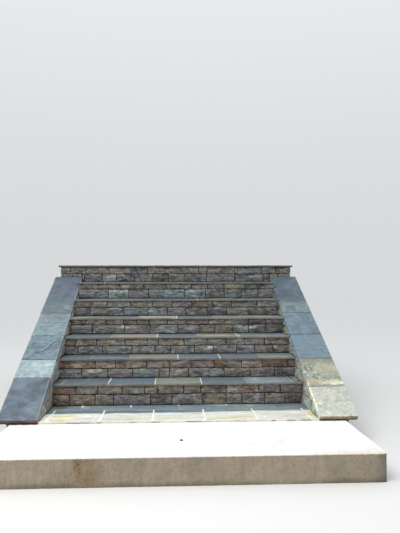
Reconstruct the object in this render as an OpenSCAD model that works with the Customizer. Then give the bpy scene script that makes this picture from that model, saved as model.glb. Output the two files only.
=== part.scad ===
// Outdoor entrance steps: seven stone-faced risers between two sloping,
// flagstone-capped side walls, a flagstone landing at the top, a flagstone
// apron at the foot and one long cast concrete step in front of it.
// X runs across the steps, -Y is the front, +Z is up. The origin is the
// centre of the footprint, on the ground.

/* [Stair] */
// Clear width between the two side walls
stair_w = 2340; // [1600:10:3200]
// Depth from one riser face to the next
run = 305; // [270:5:360]
// Height of the lowest stone riser, apron top to first tread top
first_rise = 206; // [170:1:220]
// Mean height of each riser in between
rise = 189.5; // [160:0.5:200]
// Height of the last riser, up to the landing
last_rise = 208.5; // [170:0.5:220]
// Depth of the stone facing of a riser, front to back
face_t = 100; // [60:5:120]
// Thickness of a tread flagstone
tread_t = 20; // [15:1:50]
// How far a tread stands out over the riser below it
nosing = 25; // [10:1:40]
// Width of the mortar joint between two flagstones
joint = 8; // [5:1:15]

/* [Landing] */
// Depth of the landing, last riser face to the house side
landing_d = 1415; // [1000:5:2000]
// How far the landing flagstones stand out over the side walls
landing_over = 25; // [10:1:40]

/* [Side walls] */
// Thickness of a side wall
wall_t = 265; // [200:5:350]
// Thickness of a coping flagstone
cap_t = 45; // [35:1:55]
// Width of the coping
cap_w = 330; // [300:5:400]
// Coping top above the apron, at the foot of the slope
cap_z0 = 27; // [27:1:40]
// Coping top above the apron, at the last riser
cap_z1 = 1223; // [1100:1:1235]
// How far the coping reaches in front of the first riser
cap_front = 645; // [500:5:680]

/* [Apron] */
// Depth of the flagstone apron in front of the first riser
apron_d = 627; // [620:1:900]
// Depth of the narrow row of flagstones next to the first riser
apron_row = 200; // [120:10:300]
// Height of the apron flagstones above the concrete step
apron_t = 15; // [12:1:50]

/* [Concrete step] */
// Width of the concrete step
step_w = 2800; // [2400:10:3000]
// Depth of the concrete tread in front of the apron
step_d = 958; // [500:1:1200]
// Height of the concrete step above the ground
step_h = 200; // [150:5:220]
// Radius of its trowelled top edge
step_r = 12; // [5:1:20]

/* [Hidden] */

slate = "#75848f";
buff = "#a89c82";
stone = "#8b7f76";
cement = "#c9bda9";
block = "#9a9a98";

risers = 7;
hw = stair_w / 2;
out = hw + wall_t;
base_z = step_h + apron_t;               // apron top above the ground
y_back = (risers - 1) * run + landing_d; // measured from the first riser face
y_front = -(apron_d + step_d);
y_mid = (y_front + y_back) / 2;
landing_z = base_z + first_rise + (risers - 2) * rise + last_rise;

// how far each tread lies above or below its even place
tread_shift = [0, 7, 3, -8, -8, 0];

// top of tread k above the ground; tread 0 is the apron
function top(k) = k == 0 ? base_z
    : k == risers ? landing_z
    : base_z + first_rise + (k - 1) * rise + tread_shift[k - 1];
// face of riser k, measured from the first riser face
function face(k) = (k - 1) * run;

// slope of the coping
cap_run = cap_front + face(risers);
cap_a = atan2(cap_z1 - cap_z0, cap_run);
cap_len = cap_run / cos(cap_a);
cap_drop = cap_t / cos(cap_a);           // plumb thickness of the coping
wall_front = cap_front - 25;
function under_cap(y) = base_z + cap_z0 - cap_drop + (y + cap_front) * tan(cap_a);

// where the mortar joints cross each tread, from the centre of the steps
tread_joints = [
    [-1090, -660, -223, 214, 640, 740, 1060],
    [-871, -479, -4, 415, 824],
    [-1120, -700, -217, 204, 633],
    [-824, -432, -9, 391, 850],
    [-1040, -610, -190, 230, 660],
    [-860, -430, 10, 440, 870]
];
apron_front_joints = [-1108, -668, -228, 213, 655, 1110];
apron_back_joints = [-890, -444, -4, 442, 886];
landing_joints = [
    [-870, -290, 300, 880],
    [-1120, -560, 20, 580, 1130],
    [-860, -300, 290, 870],
    [-1130, -570, 10, 590, 1120]
];
landing_rows = [0, 360, 730, 1080, landing_d + nosing];
// where the coping is jointed, measured up the slope from its foot
left_cuts = [0, 595, 890, 1335, 1805, cap_len + 100];
right_cuts = [0, 420, 880, 1335, 1805, cap_len + 100];

// everything is laid out from the first riser face, then centred
module placed() { translate([0, -y_mid, 0]) children(); }

// one row of flagstones: from x0 to x1, jointed at js
module flag_row(x0, x1, js, y, d, z, t) {
    xs = concat([x0 - joint / 2], js, [x1 + joint / 2]);
    for (i = [0 : len(xs) - 2])
        translate([xs[i] + joint / 2, y, z])
            cube([xs[i + 1] - xs[i] - joint, d, t]);
}

module concrete_step() {
    d = apron_d + step_d - wall_front;
    color(cement) placed()
        translate([-step_w / 2, y_front, 0])
            rotate([90, 0, 90]) linear_extrude(step_w) union() {
                square([d, step_h - step_r]);
                translate([step_r, 0]) square([d - step_r, step_h]);
                translate([step_r, step_h - step_r]) circle(r = step_r, $fn = 48);
            }
}

module apron_base() {
    color(cement) placed()
        translate([-hw, -wall_front, 0]) cube([stair_w, wall_front + face_t, step_h]);
}

module apron_front_row() {
    color(buff) placed()
        flag_row(-hw, hw, apron_front_joints, -apron_d, apron_d - apron_row - joint / 2, step_h, apron_t);
}

module apron_back_row() {
    color(slate) placed()
        flag_row(-hw, hw, apron_back_joints, -apron_row + joint / 2, apron_row + face_t - joint / 2, step_h, apron_t);
}

module riser(k) {
    h = top(k) - tread_t - top(k - 1);
    color(stone) placed()
        translate([-hw, face(k), top(k - 1)]) cube([stair_w, face_t, h]);
}

module tread(k) {
    color(slate) placed()
        flag_row(-hw, hw, tread_joints[k - 1], face(k) - nosing, nosing + run + face_t, top(k) - tread_t, tread_t);
}

// masonry behind the facing: one course under each tread, back to the back wall
module core_course(k) {
    z0 = k == 1 ? 0 : top(k - 1) - tread_t;
    color(block) placed()
        translate([-hw, face(k) + face_t, z0])
            cube([stair_w, y_back - face_t - face(k) - face_t, top(k) - tread_t - z0]);
}

module side_wall(side) {
    x0 = side > 0 ? hw : -out;
    color(stone) placed()
        translate([x0, 0, 0]) rotate([90, 0, 90]) linear_extrude(wall_t)
            polygon([
                [-wall_front, 0], [face(risers), 0],
                [face(risers), under_cap(face(risers))],
                [-wall_front, under_cap(-wall_front)]
            ]);
}

module landing_wall(side) {
    x0 = side > 0 ? hw : -out;
    color(stone) placed()
        translate([x0, face(risers), 0]) cube([wall_t, landing_d, landing_z - tread_t]);
}

module landing_back_wall() {
    color(stone) placed()
        translate([-hw, y_back - face_t, 0]) cube([stair_w, face_t, landing_z - tread_t]);
}

module landing_row(k) {
    y0 = face(risers) - nosing;
    a = landing_rows[k - 1] + (k == 1 ? 0 : joint / 2);
    b = landing_rows[k] - (k == 4 ? 0 : joint / 2);
    color(slate) placed()
        flag_row(-out - landing_over, out + landing_over, landing_joints[k - 1], y0 + a, b - a, landing_z - tread_t, tread_t);
}

// coping flagstone from a to b up the slope; the last one is cut plumb
module cap(side, a, b) {
    x0 = side > 0 ? hw : -hw - cap_w;
    color(slate) placed() intersection() {
        translate([x0, -cap_front, base_z + cap_z0]) rotate([cap_a, 0, 0])
            translate([0, a + (a == 0 ? 0 : joint / 4), -cap_t])
                cube([cap_w, b - a - (a == 0 ? joint / 4 : joint / 2), cap_t]);
        translate([x0 - 10, -cap_front - 100, 0]) cube([cap_w + 20, cap_run + 100, 2000]);
    }
}

concrete_step();
apron_base();
apron_front_row();
apron_back_row();
riser(1);  // riser_1
riser(2);  // riser_2
riser(3);  // riser_3
riser(4);  // riser_4
riser(5);  // riser_5
riser(6);  // riser_6
riser(7);  // riser_7
tread(1);  // tread_1
tread(2);  // tread_2
tread(3);  // tread_3
tread(4);  // tread_4
tread(5);  // tread_5
tread(6);  // tread_6
core_course(1);  // core_course_1
core_course(2);  // core_course_2
core_course(3);  // core_course_3
core_course(4);  // core_course_4
core_course(5);  // core_course_5
core_course(6);  // core_course_6
core_course(7);  // core_course_7
side_wall(-1);  // left_side_wall
side_wall(1);  // right_side_wall
landing_wall(-1);  // left_landing_wall
landing_wall(1);  // right_landing_wall
landing_back_wall();
landing_row(1);  // landing_row_1
landing_row(2);  // landing_row_2
landing_row(3);  // landing_row_3
landing_row(4);  // landing_row_4
cap(-1, left_cuts[0], left_cuts[1]);  // left_cap_1
cap(-1, left_cuts[1], left_cuts[2]);  // left_cap_2
cap(-1, left_cuts[2], left_cuts[3]);  // left_cap_3
cap(-1, left_cuts[3], left_cuts[4]);  // left_cap_4
cap(-1, left_cuts[4], left_cuts[5]);  // left_cap_5
cap(1, right_cuts[0], right_cuts[1]);  // right_cap_1
cap(1, right_cuts[1], right_cuts[2]);  // right_cap_2
cap(1, right_cuts[2], right_cuts[3]);  // right_cap_3
cap(1, right_cuts[3], right_cuts[4]);  // right_cap_4
cap(1, right_cuts[4], right_cuts[5]);  // right_cap_5
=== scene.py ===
import math
import bpy
import numpy as np
from mathutils import Matrix


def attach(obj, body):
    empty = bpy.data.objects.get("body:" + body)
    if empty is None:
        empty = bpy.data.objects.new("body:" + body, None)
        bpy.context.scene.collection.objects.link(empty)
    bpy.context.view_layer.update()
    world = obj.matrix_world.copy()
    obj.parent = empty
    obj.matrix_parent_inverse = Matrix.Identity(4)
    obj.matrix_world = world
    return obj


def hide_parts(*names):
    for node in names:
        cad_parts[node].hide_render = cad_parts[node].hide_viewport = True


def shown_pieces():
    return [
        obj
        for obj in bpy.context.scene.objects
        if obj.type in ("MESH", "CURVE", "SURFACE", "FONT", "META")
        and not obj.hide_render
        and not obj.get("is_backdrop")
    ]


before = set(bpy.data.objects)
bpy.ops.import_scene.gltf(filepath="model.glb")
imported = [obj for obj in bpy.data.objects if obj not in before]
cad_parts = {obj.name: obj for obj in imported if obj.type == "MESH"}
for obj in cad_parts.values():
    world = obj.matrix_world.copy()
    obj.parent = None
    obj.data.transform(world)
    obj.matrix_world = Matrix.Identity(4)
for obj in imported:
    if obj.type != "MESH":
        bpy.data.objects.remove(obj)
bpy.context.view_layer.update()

# ------------------------------------------------------------------ sizes, metres
HW, OUT = 1.170, 1.435               # half the clear width, outer face of the walls
Y0 = -0.830                          # face of the first riser
RUN = 0.305
TOP = [0.215, 0.421, 0.6175, 0.803, 0.9815, 1.171, 1.3685, 1.577]
TREAD_T, NOSING, FACE_T = 0.020, 0.025, 0.100
JOINT = 0.008
PROUD = 0.007                        # how far the stones of a riser stand out
Y_LAND, Y_BACK = 1.000, 2.415
Y_WALL = -1.450                      # front end of the side walls
LAND_Z = 1.557                       # underside of the landing flagstones
CAP_Y, CAP_Z = -1.475, 0.242
CAP_A = math.atan2(1.196, 2.475)
CAP_LEN = 2.475 / math.cos(CAP_A)
CAP_T = 0.045
SLOPE = math.tan(CAP_A)


def face(k):
    return Y0 + (k - 1) * RUN


def under_cap(y):
    return CAP_Z - CAP_T / math.cos(CAP_A) + (y - CAP_Y) * SLOPE


# ------------------------------------------------------------------ noise
_g = np.random.default_rng(11)
GRAD = _g.normal(size=(256, 3))
GRAD /= np.linalg.norm(GRAD, axis=1)[:, None]


def _hash(i, seed):
    n = (i[:, 0] * 73856093) ^ (i[:, 1] * 19349663) ^ (i[:, 2] * 83492791) ^ (seed * 2654435)
    n = (n ^ (n >> 13)) * 1274126177
    return (n ^ (n >> 16)) & 255


def noise(p, seed=0):
    i = np.floor(p).astype(np.int64)
    f = p - i
    w = f * f * f * (f * (f * 6 - 15) + 10)
    out = np.zeros(len(p))
    for a in (0, 1):
        for b in (0, 1):
            for c in (0, 1):
                o = np.array([a, b, c])
                g = GRAD[_hash(i + o, seed)]
                k = np.where(o == 1, w, 1 - w)
                out += k[:, 0] * k[:, 1] * k[:, 2] * (g * (f - o)).sum(1)
    return out * 1.6


def fbm(p, octaves=3, seed=0, gain=0.5):
    out, a, s = np.zeros(len(p)), 1.0, 1.0
    for k in range(octaves):
        out += a * noise(p * s + 17.3 * k, seed + 31 * k)
        a *= gain
        s *= 2.03
    return out


def smooth(a, b, x):
    t = np.clip((x - a) / (b - a), 0, 1)
    return t * t * (3 - 2 * t)


# ------------------------------------------------------------------ colours
def lin(c):
    c = np.asarray(c, float) / 255
    return np.where(c <= 0.04045, c / 12.92, ((c + 0.055) / 1.055) ** 2.4)


# kinds of facing stone
STONE = {
    "g": (104, 102, 97), "k": (106, 103, 92), "b": (97, 101, 102), "m": (103, 98, 97),
    "r": (114, 95, 80), "n": (100, 89, 80), "d": (80, 77, 74), "y": (113, 107, 90),
    "w": (120, 127, 124), "t": (111, 105, 97), "s": (75, 76, 82), "e": (99, 105, 100),
}
# kinds of flagstone
FLAG = {
    "B": (106, 118, 127), "V": (110, 116, 127), "T": (140, 142, 130), "G": (121, 131, 129),
    "C": (149, 150, 137), "L": (131, 142, 144), "Y": (150, 145, 120), "P": (150, 142, 134),
    # S, U, Q and R: pale cream tones of the apron's front row, painted as the stone looks in sunlight
    "S": (233, 229, 217), "U": (240, 234, 206), "Q": (231, 221, 210), "R": (217, 220, 212),
    "D": (98, 111, 122), "E": (112, 127, 138), "F": (131, 148, 157), "H": (164, 179, 181),
    "I": (129, 147, 159), "J": (158, 161, 146), "K": (192, 189, 172), "M": (206, 188, 128),
    "N": (136, 148, 158), "O": (150, 163, 165), "W": (138, 131, 121), "X": (122, 117, 110),
    "Z": (92, 86, 78), "A": (191, 190, 178),
}
GAIN_STONE = np.array([1.42, 1.44, 1.50])
RICH = 1.12                          # how far the stones differ from grey
GAIN_FLAG = np.array([0.90, 0.95, 0.97])


# ------------------------------------------------------------------ mesh building
class Bag:
    """Vertices, faces and per-vertex data of one piece."""

    def __init__(self):
        self.v, self.q, self.t = [], [], []
        self.tone, self.tone2, self.seed, self.edge = [], [], [], []
        self.n = 0

    def add(self, v, q, t, tone, tone2, seed, edge):
        self.v.append(v)
        self.q.append(q + self.n)
        self.t.append(t + self.n)
        self.tone.append(tone)
        self.tone2.append(tone2)
        self.seed.append(np.tile(seed, (len(v), 1)))
        self.edge.append(edge)
        self.n += len(v)

    def make(self, name, mat, slot, replaces=(), angle=38):
        v, q, t = np.concatenate(self.v), np.concatenate(self.q), np.concatenate(self.t)
        me = bpy.data.meshes.new(name)
        me.vertices.add(len(v))
        me.vertices.foreach_set("co", v.astype(np.float32).ravel())
        me.loops.add(q.size + t.size)
        me.loops.foreach_set("vertex_index", np.concatenate([q.ravel(), t.ravel()]).astype(np.int32))
        me.polygons.add(len(q) + len(t))
        starts = np.concatenate([np.arange(len(q)) * 4, q.size + np.arange(len(t)) * 3])
        me.polygons.foreach_set("loop_start", starts.astype(np.int32))
        me.update(calc_edges=True)
        one = np.ones((len(v), 1))
        for key, data in (("tone", self.tone), ("tone2", self.tone2)):
            a = me.attributes.new(key, "FLOAT_COLOR", "POINT")
            a.data.foreach_set("color", np.hstack([np.concatenate(data), one]).astype(np.float32).ravel())
        a = me.attributes.new("seed", "FLOAT_VECTOR", "POINT")
        a.data.foreach_set("vector", np.concatenate(self.seed).astype(np.float32).ravel())
        a = me.attributes.new("rim", "FLOAT", "POINT")
        a.data.foreach_set("value", np.concatenate(self.edge).astype(np.float32))
        me.shade_smooth()
        me.set_sharp_from_angle(angle=math.radians(angle))
        me.validate()
        o = bpy.data.objects.new(name, me)
        bpy.context.scene.collection.objects.link(o)
        me.materials.append(mat)
        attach(o, "root")
        if replaces:
            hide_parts(*replaces)
        return o


def axes(o, u, v, w):
    return tuple(np.array(a, float) for a in (o, u, v, w))


def spaced(length, step, fine):
    fine = [f for f in fine if f < length * 0.28] or [0.0]
    m = fine[-1]
    n = max(1, int(round((length - 2 * m) / step)))
    return np.concatenate([fine[:-1], np.linspace(m, length - m, n + 1), [length - f for f in fine[:-1]][::-1]])


def block(bag, F, u0, u1, v0, v1, rg, relief, tones, step=0.010, fine=(0, 0.003, 0.008), r=0.006,
          wob=0.0025, depths=(0.035,), side=0.0, bulge=0.0, top=None, rim=0.010, warp=None, paint=None):
    """A closed stone: a gridded front over [u0,u1] x [v0,v1], sides going back through depths, and a back.
    relief(x, y, e, w, h) is the front's height; top(u) trims the upper edge; warp moves (u, v, w); paint recolours."""
    O, U, V, W = F
    w, h = u1 - u0, v1 - v0
    xs, ys = spaced(w, step, fine), spaced(h, step, fine)
    nx, ny = len(xs), len(ys)
    X, Y = np.meshgrid(xs, ys)
    X, Y = X.ravel(), Y.ravel()
    e = np.minimum.reduce([X, w - X, Y, h - Y])
    z = relief(X, Y, e, w, h)
    # rounded corners
    r = min(r, 0.45 * w, 0.45 * h)
    ax, ay = np.abs(X - w / 2) - (w / 2 - r), np.abs(Y - h / 2) - (h / 2 - r)
    m = (ax > 0) & (ay > 0)
    d = np.where(m, np.hypot(ax, ay), 1.0)
    k = np.where(m & (d > 1e-9), np.maximum(ax, ay) / np.maximum(d, 1e-9), 1.0)
    x = np.where(m, w / 2 + np.sign(X - w / 2) * (w / 2 - r + ax * k), X)
    y = np.where(m, h / 2 + np.sign(Y - h / 2) * (h / 2 - r + ay * k), Y)
    seed = rg.uniform(-40, 40, 3)
    s = int(rg.integers(1, 9999))
    q = np.stack([x * 22 + seed[0], y * 22 + seed[1], np.zeros(len(x))], 1)
    x = x + wob * noise(q, s) * 1.3
    y = y + wob * noise(q + 9.7, s + 5) * 1.3
    if top is not None:
        hh = np.clip((top(u0 + x) - v0) / h, 0.0, 1.0)
        y = y * hh
    idx = np.arange(nx * ny).reshape(ny, nx)
    per = np.concatenate([idx[0, :-1], idx[:-1, -1], idx[-1, :0:-1], idx[:0:-1, 0]])
    quads = np.stack([idx[:-1, :-1], idx[:-1, 1:], idx[1:, 1:], idx[1:, :-1]], -1).reshape(-1, 4)
    px, py, pz = x[per], y[per], z[per]
    tx, ty = np.roll(px, -1) - np.roll(px, 1), np.roll(py, -1) - np.roll(py, 1)
    tl = np.maximum(np.hypot(tx, ty), 1e-9)
    nx_, ny_ = ty / tl, -tx / tl
    along = np.concatenate([[0], np.cumsum(np.hypot(np.diff(px), np.diff(py)))])
    pu, pv, pw = [x], [y], [z]
    P = len(per)
    last = per
    base = nx * ny
    deep = depths[-1]
    for i, dep in enumerate(depths):
        f = dep / deep
        # the noise closes on itself round the outline
        c = np.stack([px * 26 + seed[0], py * 26 + seed[1], np.full(P, dep * 60.0) + seed[2]], 1)
        out = side * fbm(c, 2, s + 11) + bulge * (4 * f * (1 - f))
        out *= 1.0 if i < len(depths) - 1 else 0.4
        pu.append(px + nx_ * out)
        pv.append(py + ny_ * out)
        pw.append(pz * (1 - f) - dep)
        cur = base + np.arange(P)
        quads = np.concatenate([quads, np.stack([cur, np.roll(cur, -1), np.roll(last, -1), last], 1)])
        last = cur
        base += P
    pu.append([px.mean()]); pv.append([py.mean()]); pw.append([-deep])
    tris = np.stack([np.full(P, base), np.roll(last, -1), last], 1)
    u = u0 + np.concatenate(pu)
    v = v0 + np.concatenate(pv)
    ww = np.concatenate(pw)
    if warp is not None:
        u, v, ww = warp(u, v, ww)
    co = O + u[:, None] * U + v[:, None] * V + ww[:, None] * W
    ta, tb = tones
    jit = rg.uniform(0.94, 1.06) * (1 + rg.normal(0, 0.010, 3))
    A = np.tile(ta * jit, (len(co), 1))
    B = np.tile(tb * jit, (len(co), 1))
    if paint is not None:
        A, B = paint(u, v, ww, A, B)
    em = np.concatenate([np.clip(1 - e / rim, 0, 1), np.ones(len(co) - nx * ny)])
    bag.add(co, quads, tris, A, B, seed, em)


def rock(rg, drop=0.006, edge=0.011, amp=0.0026, tilt=1.0, fine=0.0011):
    """Split face: a nearly flat break with a few shallow facets, bedding ledges and a chipped rim."""
    s = int(rg.integers(1, 9999))
    o = rg.uniform(-30, 30, 3)
    cuts = [(rg.normal(0, 0.035), rg.normal(0, 0.14) * tilt, rg.uniform(0.0005, 0.004)) for _ in range(4)]
    led = [(rg.uniform(0.12, 0.88), rg.normal(0, 0.0017), rg.normal(0, 0.08)) for _ in range(4)]
    side = rg.uniform(0.7, 1.6, 4)

    def f(x, y, e, w, h):
        q = np.stack([x * 16 + o[0], y * 30 + o[1], np.full(len(x), o[2])], 1)
        n = fbm(q, 3, s)
        # facets whose borders wander
        u, v = x + 0.010 * n, y + 0.006 * noise(q * 1.7 + 5, s + 2)
        de = np.minimum.reduce([x * side[0], (w - x) * side[1], y * side[2], (h - y) * side[3]])
        de = np.minimum(de * (1 + 0.6 * n), e * 1.8)
        p = 1 - np.clip(de / edge, 0, 1)
        z = np.full(len(x), 0.003)
        for a, b, c in cuts:
            z = np.minimum(z, c + a * (u - w / 2) + b * (v - h / 2))
        for t, a, k in led:
            z = z + a * smooth(-0.002, 0.002, v - h * t - k * (x - w / 2))
        z = np.maximum(z, -0.007) - drop * p ** 1.8
        # flakes: sharp-edged shallow scars
        g = fbm(q * np.array([1.9, 1.5, 1.0]) + 3.1, 2, s + 8)
        z = z - 0.0012 * smooth(0.10, 0.16, g) + 0.0010 * smooth(0.14, 0.20, -g)
        return z + amp * n + fine * fbm(q * np.array([3.6, 2.8, 1]), 3, s + 3, 0.6)
    return f


def cleft(rg, amp=0.0016, scale=4.0, levels=3.0, edge=0.004, drop=0.0025, ripple=0.0, rdir=0.6):
    """Natural cleft of a flagstone: thin terraces, and a rippled bed where asked."""
    s = int(rg.integers(1, 9999))
    o = rg.uniform(-30, 30, 3)
    ca, sa = math.cos(rdir), math.sin(rdir)

    def f(x, y, e, w, h):
        q = np.stack([x * scale + o[0], y * scale + o[1], np.full(len(x), o[2])], 1)
        n = fbm(q, 4, s) * 1.4
        k = np.floor(n * levels)
        t = (k + smooth(0.80, 1.0, n * levels - k)) / levels
        z = amp * t + 0.00035 * fbm(q * 9, 2, s + 7)
        if ripple:
            a, b = ca * x + sa * y, -sa * x + ca * y
            qq = np.stack([a * 9 + o[1], b * 30 + o[2] + 1.5 * n, np.full(len(x), 0.5)], 1)
            z = z + ripple * fbm(qq, 3, s + 9, 0.55)
        p = 1 - np.clip(e / edge, 0, 1)
        return z - drop * p ** 2
    return f


def rough(rg, amp=0.0015, scale=30, edge=0.004, drop=0.001):
    s = int(rg.integers(1, 9999))
    o = rg.uniform(-30, 30, 3)

    def f(x, y, e, w, h):
        q = np.stack([x * scale + o[0], y * scale + o[1], np.full(len(x), o[2])], 1)
        return amp * fbm(q, 3, s) - drop * (1 - np.clip(e / edge, 0, 1)) ** 2
    return f


# ------------------------------------------------------------------ materials
class Mat:
    def __init__(self, name):
        self.m = bpy.data.materials.new(name)
        self.m.use_nodes = True
        self.t = self.m.node_tree
        self.t.nodes.clear()
        out = self.t.nodes.new("ShaderNodeOutputMaterial")
        self.b = self.t.nodes.new("ShaderNodeBsdfPrincipled")
        self.t.links.new(self.b.outputs[0], out.inputs[0])

    def put(self, socket, value):
        if isinstance(value, bpy.types.NodeSocket):
            self.t.links.new(value, socket)
        else:
            socket.default_value = value

    def attr(self, name, out):
        n = self.t.nodes.new("ShaderNodeAttribute")
        n.attribute_name = name
        return n.outputs[out]

    def here(self):
        return self.t.nodes.new("ShaderNodeTexCoord").outputs["Object"]

    def vec(self, op, a, b):
        n = self.t.nodes.new("ShaderNodeVectorMath")
        n.operation = op
        self.put(n.inputs[0], a)
        self.put(n.inputs[1], b)
        return n.outputs[0]

    def math(self, op, a, b=0.0, clamp=False):
        n = self.t.nodes.new("ShaderNodeMath")
        n.operation = op
        n.use_clamp = clamp
        self.put(n.inputs[0], a)
        self.put(n.inputs[1], b)
        return n.outputs[0]

    def noise(self, v, scale, detail=4.0, rough=0.55, dist=0.0):
        n = self.t.nodes.new("ShaderNodeTexNoise")
        self.put(n.inputs["Vector"], v)
        n.inputs["Scale"].default_value = scale
        n.inputs["Detail"].default_value = detail
        n.inputs["Roughness"].default_value = rough
        n.inputs["Distortion"].default_value = dist
        return n.outputs[0]

    def cells(self, v, scale, feature="F1"):
        n = self.t.nodes.new("ShaderNodeTexVoronoi")
        n.feature = feature
        self.put(n.inputs["Vector"], v)
        n.inputs["Scale"].default_value = scale
        return n.outputs["Distance"]

    def span(self, x, a, b, c, d, kind="SMOOTHSTEP"):
        n = self.t.nodes.new("ShaderNodeMapRange")
        n.interpolation_type = kind
        self.put(n.inputs["Value"], x)
        for key, val in (("From Min", a), ("From Max", b), ("To Min", c), ("To Max", d)):
            n.inputs[key].default_value = val
        return n.outputs["Result"]

    def mix(self, f, a, b, how="MIX"):
        n = self.t.nodes.new("ShaderNodeMix")
        n.data_type = "RGBA"
        n.blend_type = how
        self.put(n.inputs[0], f)
        self.put(n.inputs[6], a)
        self.put(n.inputs[7], b)
        return n.outputs[2]

    def scale(self, c, f):
        n = self.t.nodes.new("ShaderNodeVectorMath")
        n.operation = "SCALE"
        self.put(n.inputs[0], c)
        self.put(n.inputs["Scale"], f)
        return n.outputs[0]

    def bump(self, h, strength, distance):
        n = self.t.nodes.new("ShaderNodeBump")
        n.inputs["Strength"].default_value = strength
        n.inputs["Distance"].default_value = distance
        self.put(n.inputs["Height"], h)
        self.t.links.new(n.outputs[0], self.b.inputs["Normal"])

    def done(self, colour, rough, spec=0.35):
        self.put(self.b.inputs["Base Color"], colour)
        self.put(self.b.inputs["Roughness"], rough)
        self.b.inputs["Specular IOR Level"].default_value = spec
        return self.m


def split_stone(name, bed=2.4, edge_stain_and_shade=0.30, contrast=1.0, fleck=0.35):
    """Split-faced stone: two tones in blotches, mottling, bedding streaks, pale flecks, brown rims and pits."""
    m = Mat(name)
    tone, tone2 = m.attr("tone", "Color"), m.attr("tone2", "Color")
    p = m.vec("ADD", m.here(), m.attr("seed", "Vector"))
    pb = m.vec("MULTIPLY", p, (1.0, 1.0, bed))
    big = m.noise(pb, 8.0, 3.0, 0.55, 0.9)
    c = m.mix(m.span(big, 0.44, 0.58, 0.0, 1.0), tone, tone2)
    # broad light and dark clouds, flatter than they are wide
    cloud = m.noise(m.vec("ADD", pb, (7.3, 2.1, 4.4)), 12.0, 3.0, 0.5, 1.1)
    c = m.scale(c, m.span(cloud, 0.34, 0.66, 1 - 0.42 * contrast, 1 + 0.46 * contrast, "LINEAR"))
    mid = m.noise(pb, 30.0, 4.0, 0.55, 0.5)
    c = m.scale(c, m.span(mid, 0.32, 0.68, 1 - 0.20 * contrast, 1 + 0.23 * contrast, "LINEAR"))
    streak = m.noise(m.vec("MULTIPLY", p, (1.0, 1.0, 9.0)), 8.0, 3.0, 0.6, 0.3)
    c = m.scale(c, m.span(streak, 0.34, 0.66, 1 - 0.13 * contrast, 1 + 0.15 * contrast, "LINEAR"))
    # drifts between warm and cool, olive and mauve
    drift = m.noise(p, 13.0, 3.0, 0.6, 0.5)
    c = m.mix(m.span(drift, 0.44, 0.64, 0.0, 0.42), c, m.mix(1.0, c, (1.13, 0.98, 0.84, 1), "MULTIPLY"))
    hue = m.noise(m.vec("ADD", p, (3.1, 8.7, 5.9)), 11.0, 2.0, 0.5, 0.6)
    c = m.mix(m.span(hue, 0.52, 0.66, 0.0, 0.45), c, m.mix(1.0, c, (1.05, 0.93, 1.06, 1), "MULTIPLY"))
    c = m.mix(m.span(hue, 0.48, 0.36, 0.0, 0.38), c, m.mix(1.0, c, (0.97, 1.04, 0.95, 1), "MULTIPLY"))
    spots = m.noise(pb, 36.0, 3.0, 0.55, 0.9)
    c = m.mix(m.span(spots, 0.58, 0.70, 0.0, fleck), c, m.mix(1.0, c, (1.7, 1.75, 1.8, 1), "MULTIPLY"))
    c = m.mix(m.span(spots, 0.42, 0.32, 0.0, 0.40), c, m.mix(1.0, c, (0.55, 0.52, 0.52, 1), "MULTIPLY"))
    # a few fractures that run mostly along the bedding
    vein = m.noise(pb, 8.5, 4.0, 0.55, 1.4)
    crack = m.math("ABSOLUTE", m.math("SUBTRACT", vein, 0.5))
    c = m.scale(c, m.span(crack, 0.002, 0.018, 1 - 0.30 * contrast, 1.0))
    grain = m.noise(p, 190.0, 3.0, 0.65)
    c = m.scale(c, m.span(grain, 0.3, 0.7, 0.87, 1.14, "LINEAR"))
    pits = m.cells(p, 95.0)
    c = m.scale(c, m.span(pits, 0.05, 0.20, 0.84, 1.0))
    # the arrises are painted paler, a painted highlight; the very edge, where it turns into the joint, is painted
    # darker and browner: brown staining and painted shade at the joint
    edge = m.attr("rim", "Fac")
    rim_highlight = m.math("MULTIPLY", m.span(edge, 0.05, 0.45, 0.0, 1.0), m.span(edge, 0.85, 0.55, 0.0, 1.0))
    rim_highlight = m.math("MULTIPLY", rim_highlight, m.span(cloud, 0.42, 0.58, 0.15, 1.0))
    c = m.scale(c, m.span(rim_highlight, 0.0, 1.0, 1.0, 1.32, "LINEAR"))
    rim = m.math("MULTIPLY", m.span(edge, 0.45, 0.95, 0.0, 1.0), m.span(mid, 0.35, 0.65, 0.6, 1.2), True)
    c = m.mix(rim, c, m.mix(1.0, c, (1 - edge_stain_and_shade * 0.80, 1 - edge_stain_and_shade * 1.05, 1 - edge_stain_and_shade * 1.30, 1), "MULTIPLY"))
    h = m.math("ADD", m.math("MULTIPLY", mid, 0.8), m.math("MULTIPLY", streak, 0.6))
    h = m.math("ADD", h, m.math("MULTIPLY", cloud, 0.9))
    h = m.math("ADD", h, m.math("MULTIPLY", grain, 0.16))
    h = m.math("ADD", h, m.span(pits, 0.03, 0.2, -0.10, 0.0))
    h = m.math("ADD", h, m.span(crack, 0.0, 0.04, -0.25, 0.0))
    m.bump(h, 0.75, 0.009)
    return m.done(c, m.span(grain, 0.3, 0.7, 0.74, 0.96, "LINEAR"), 0.25)


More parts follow.
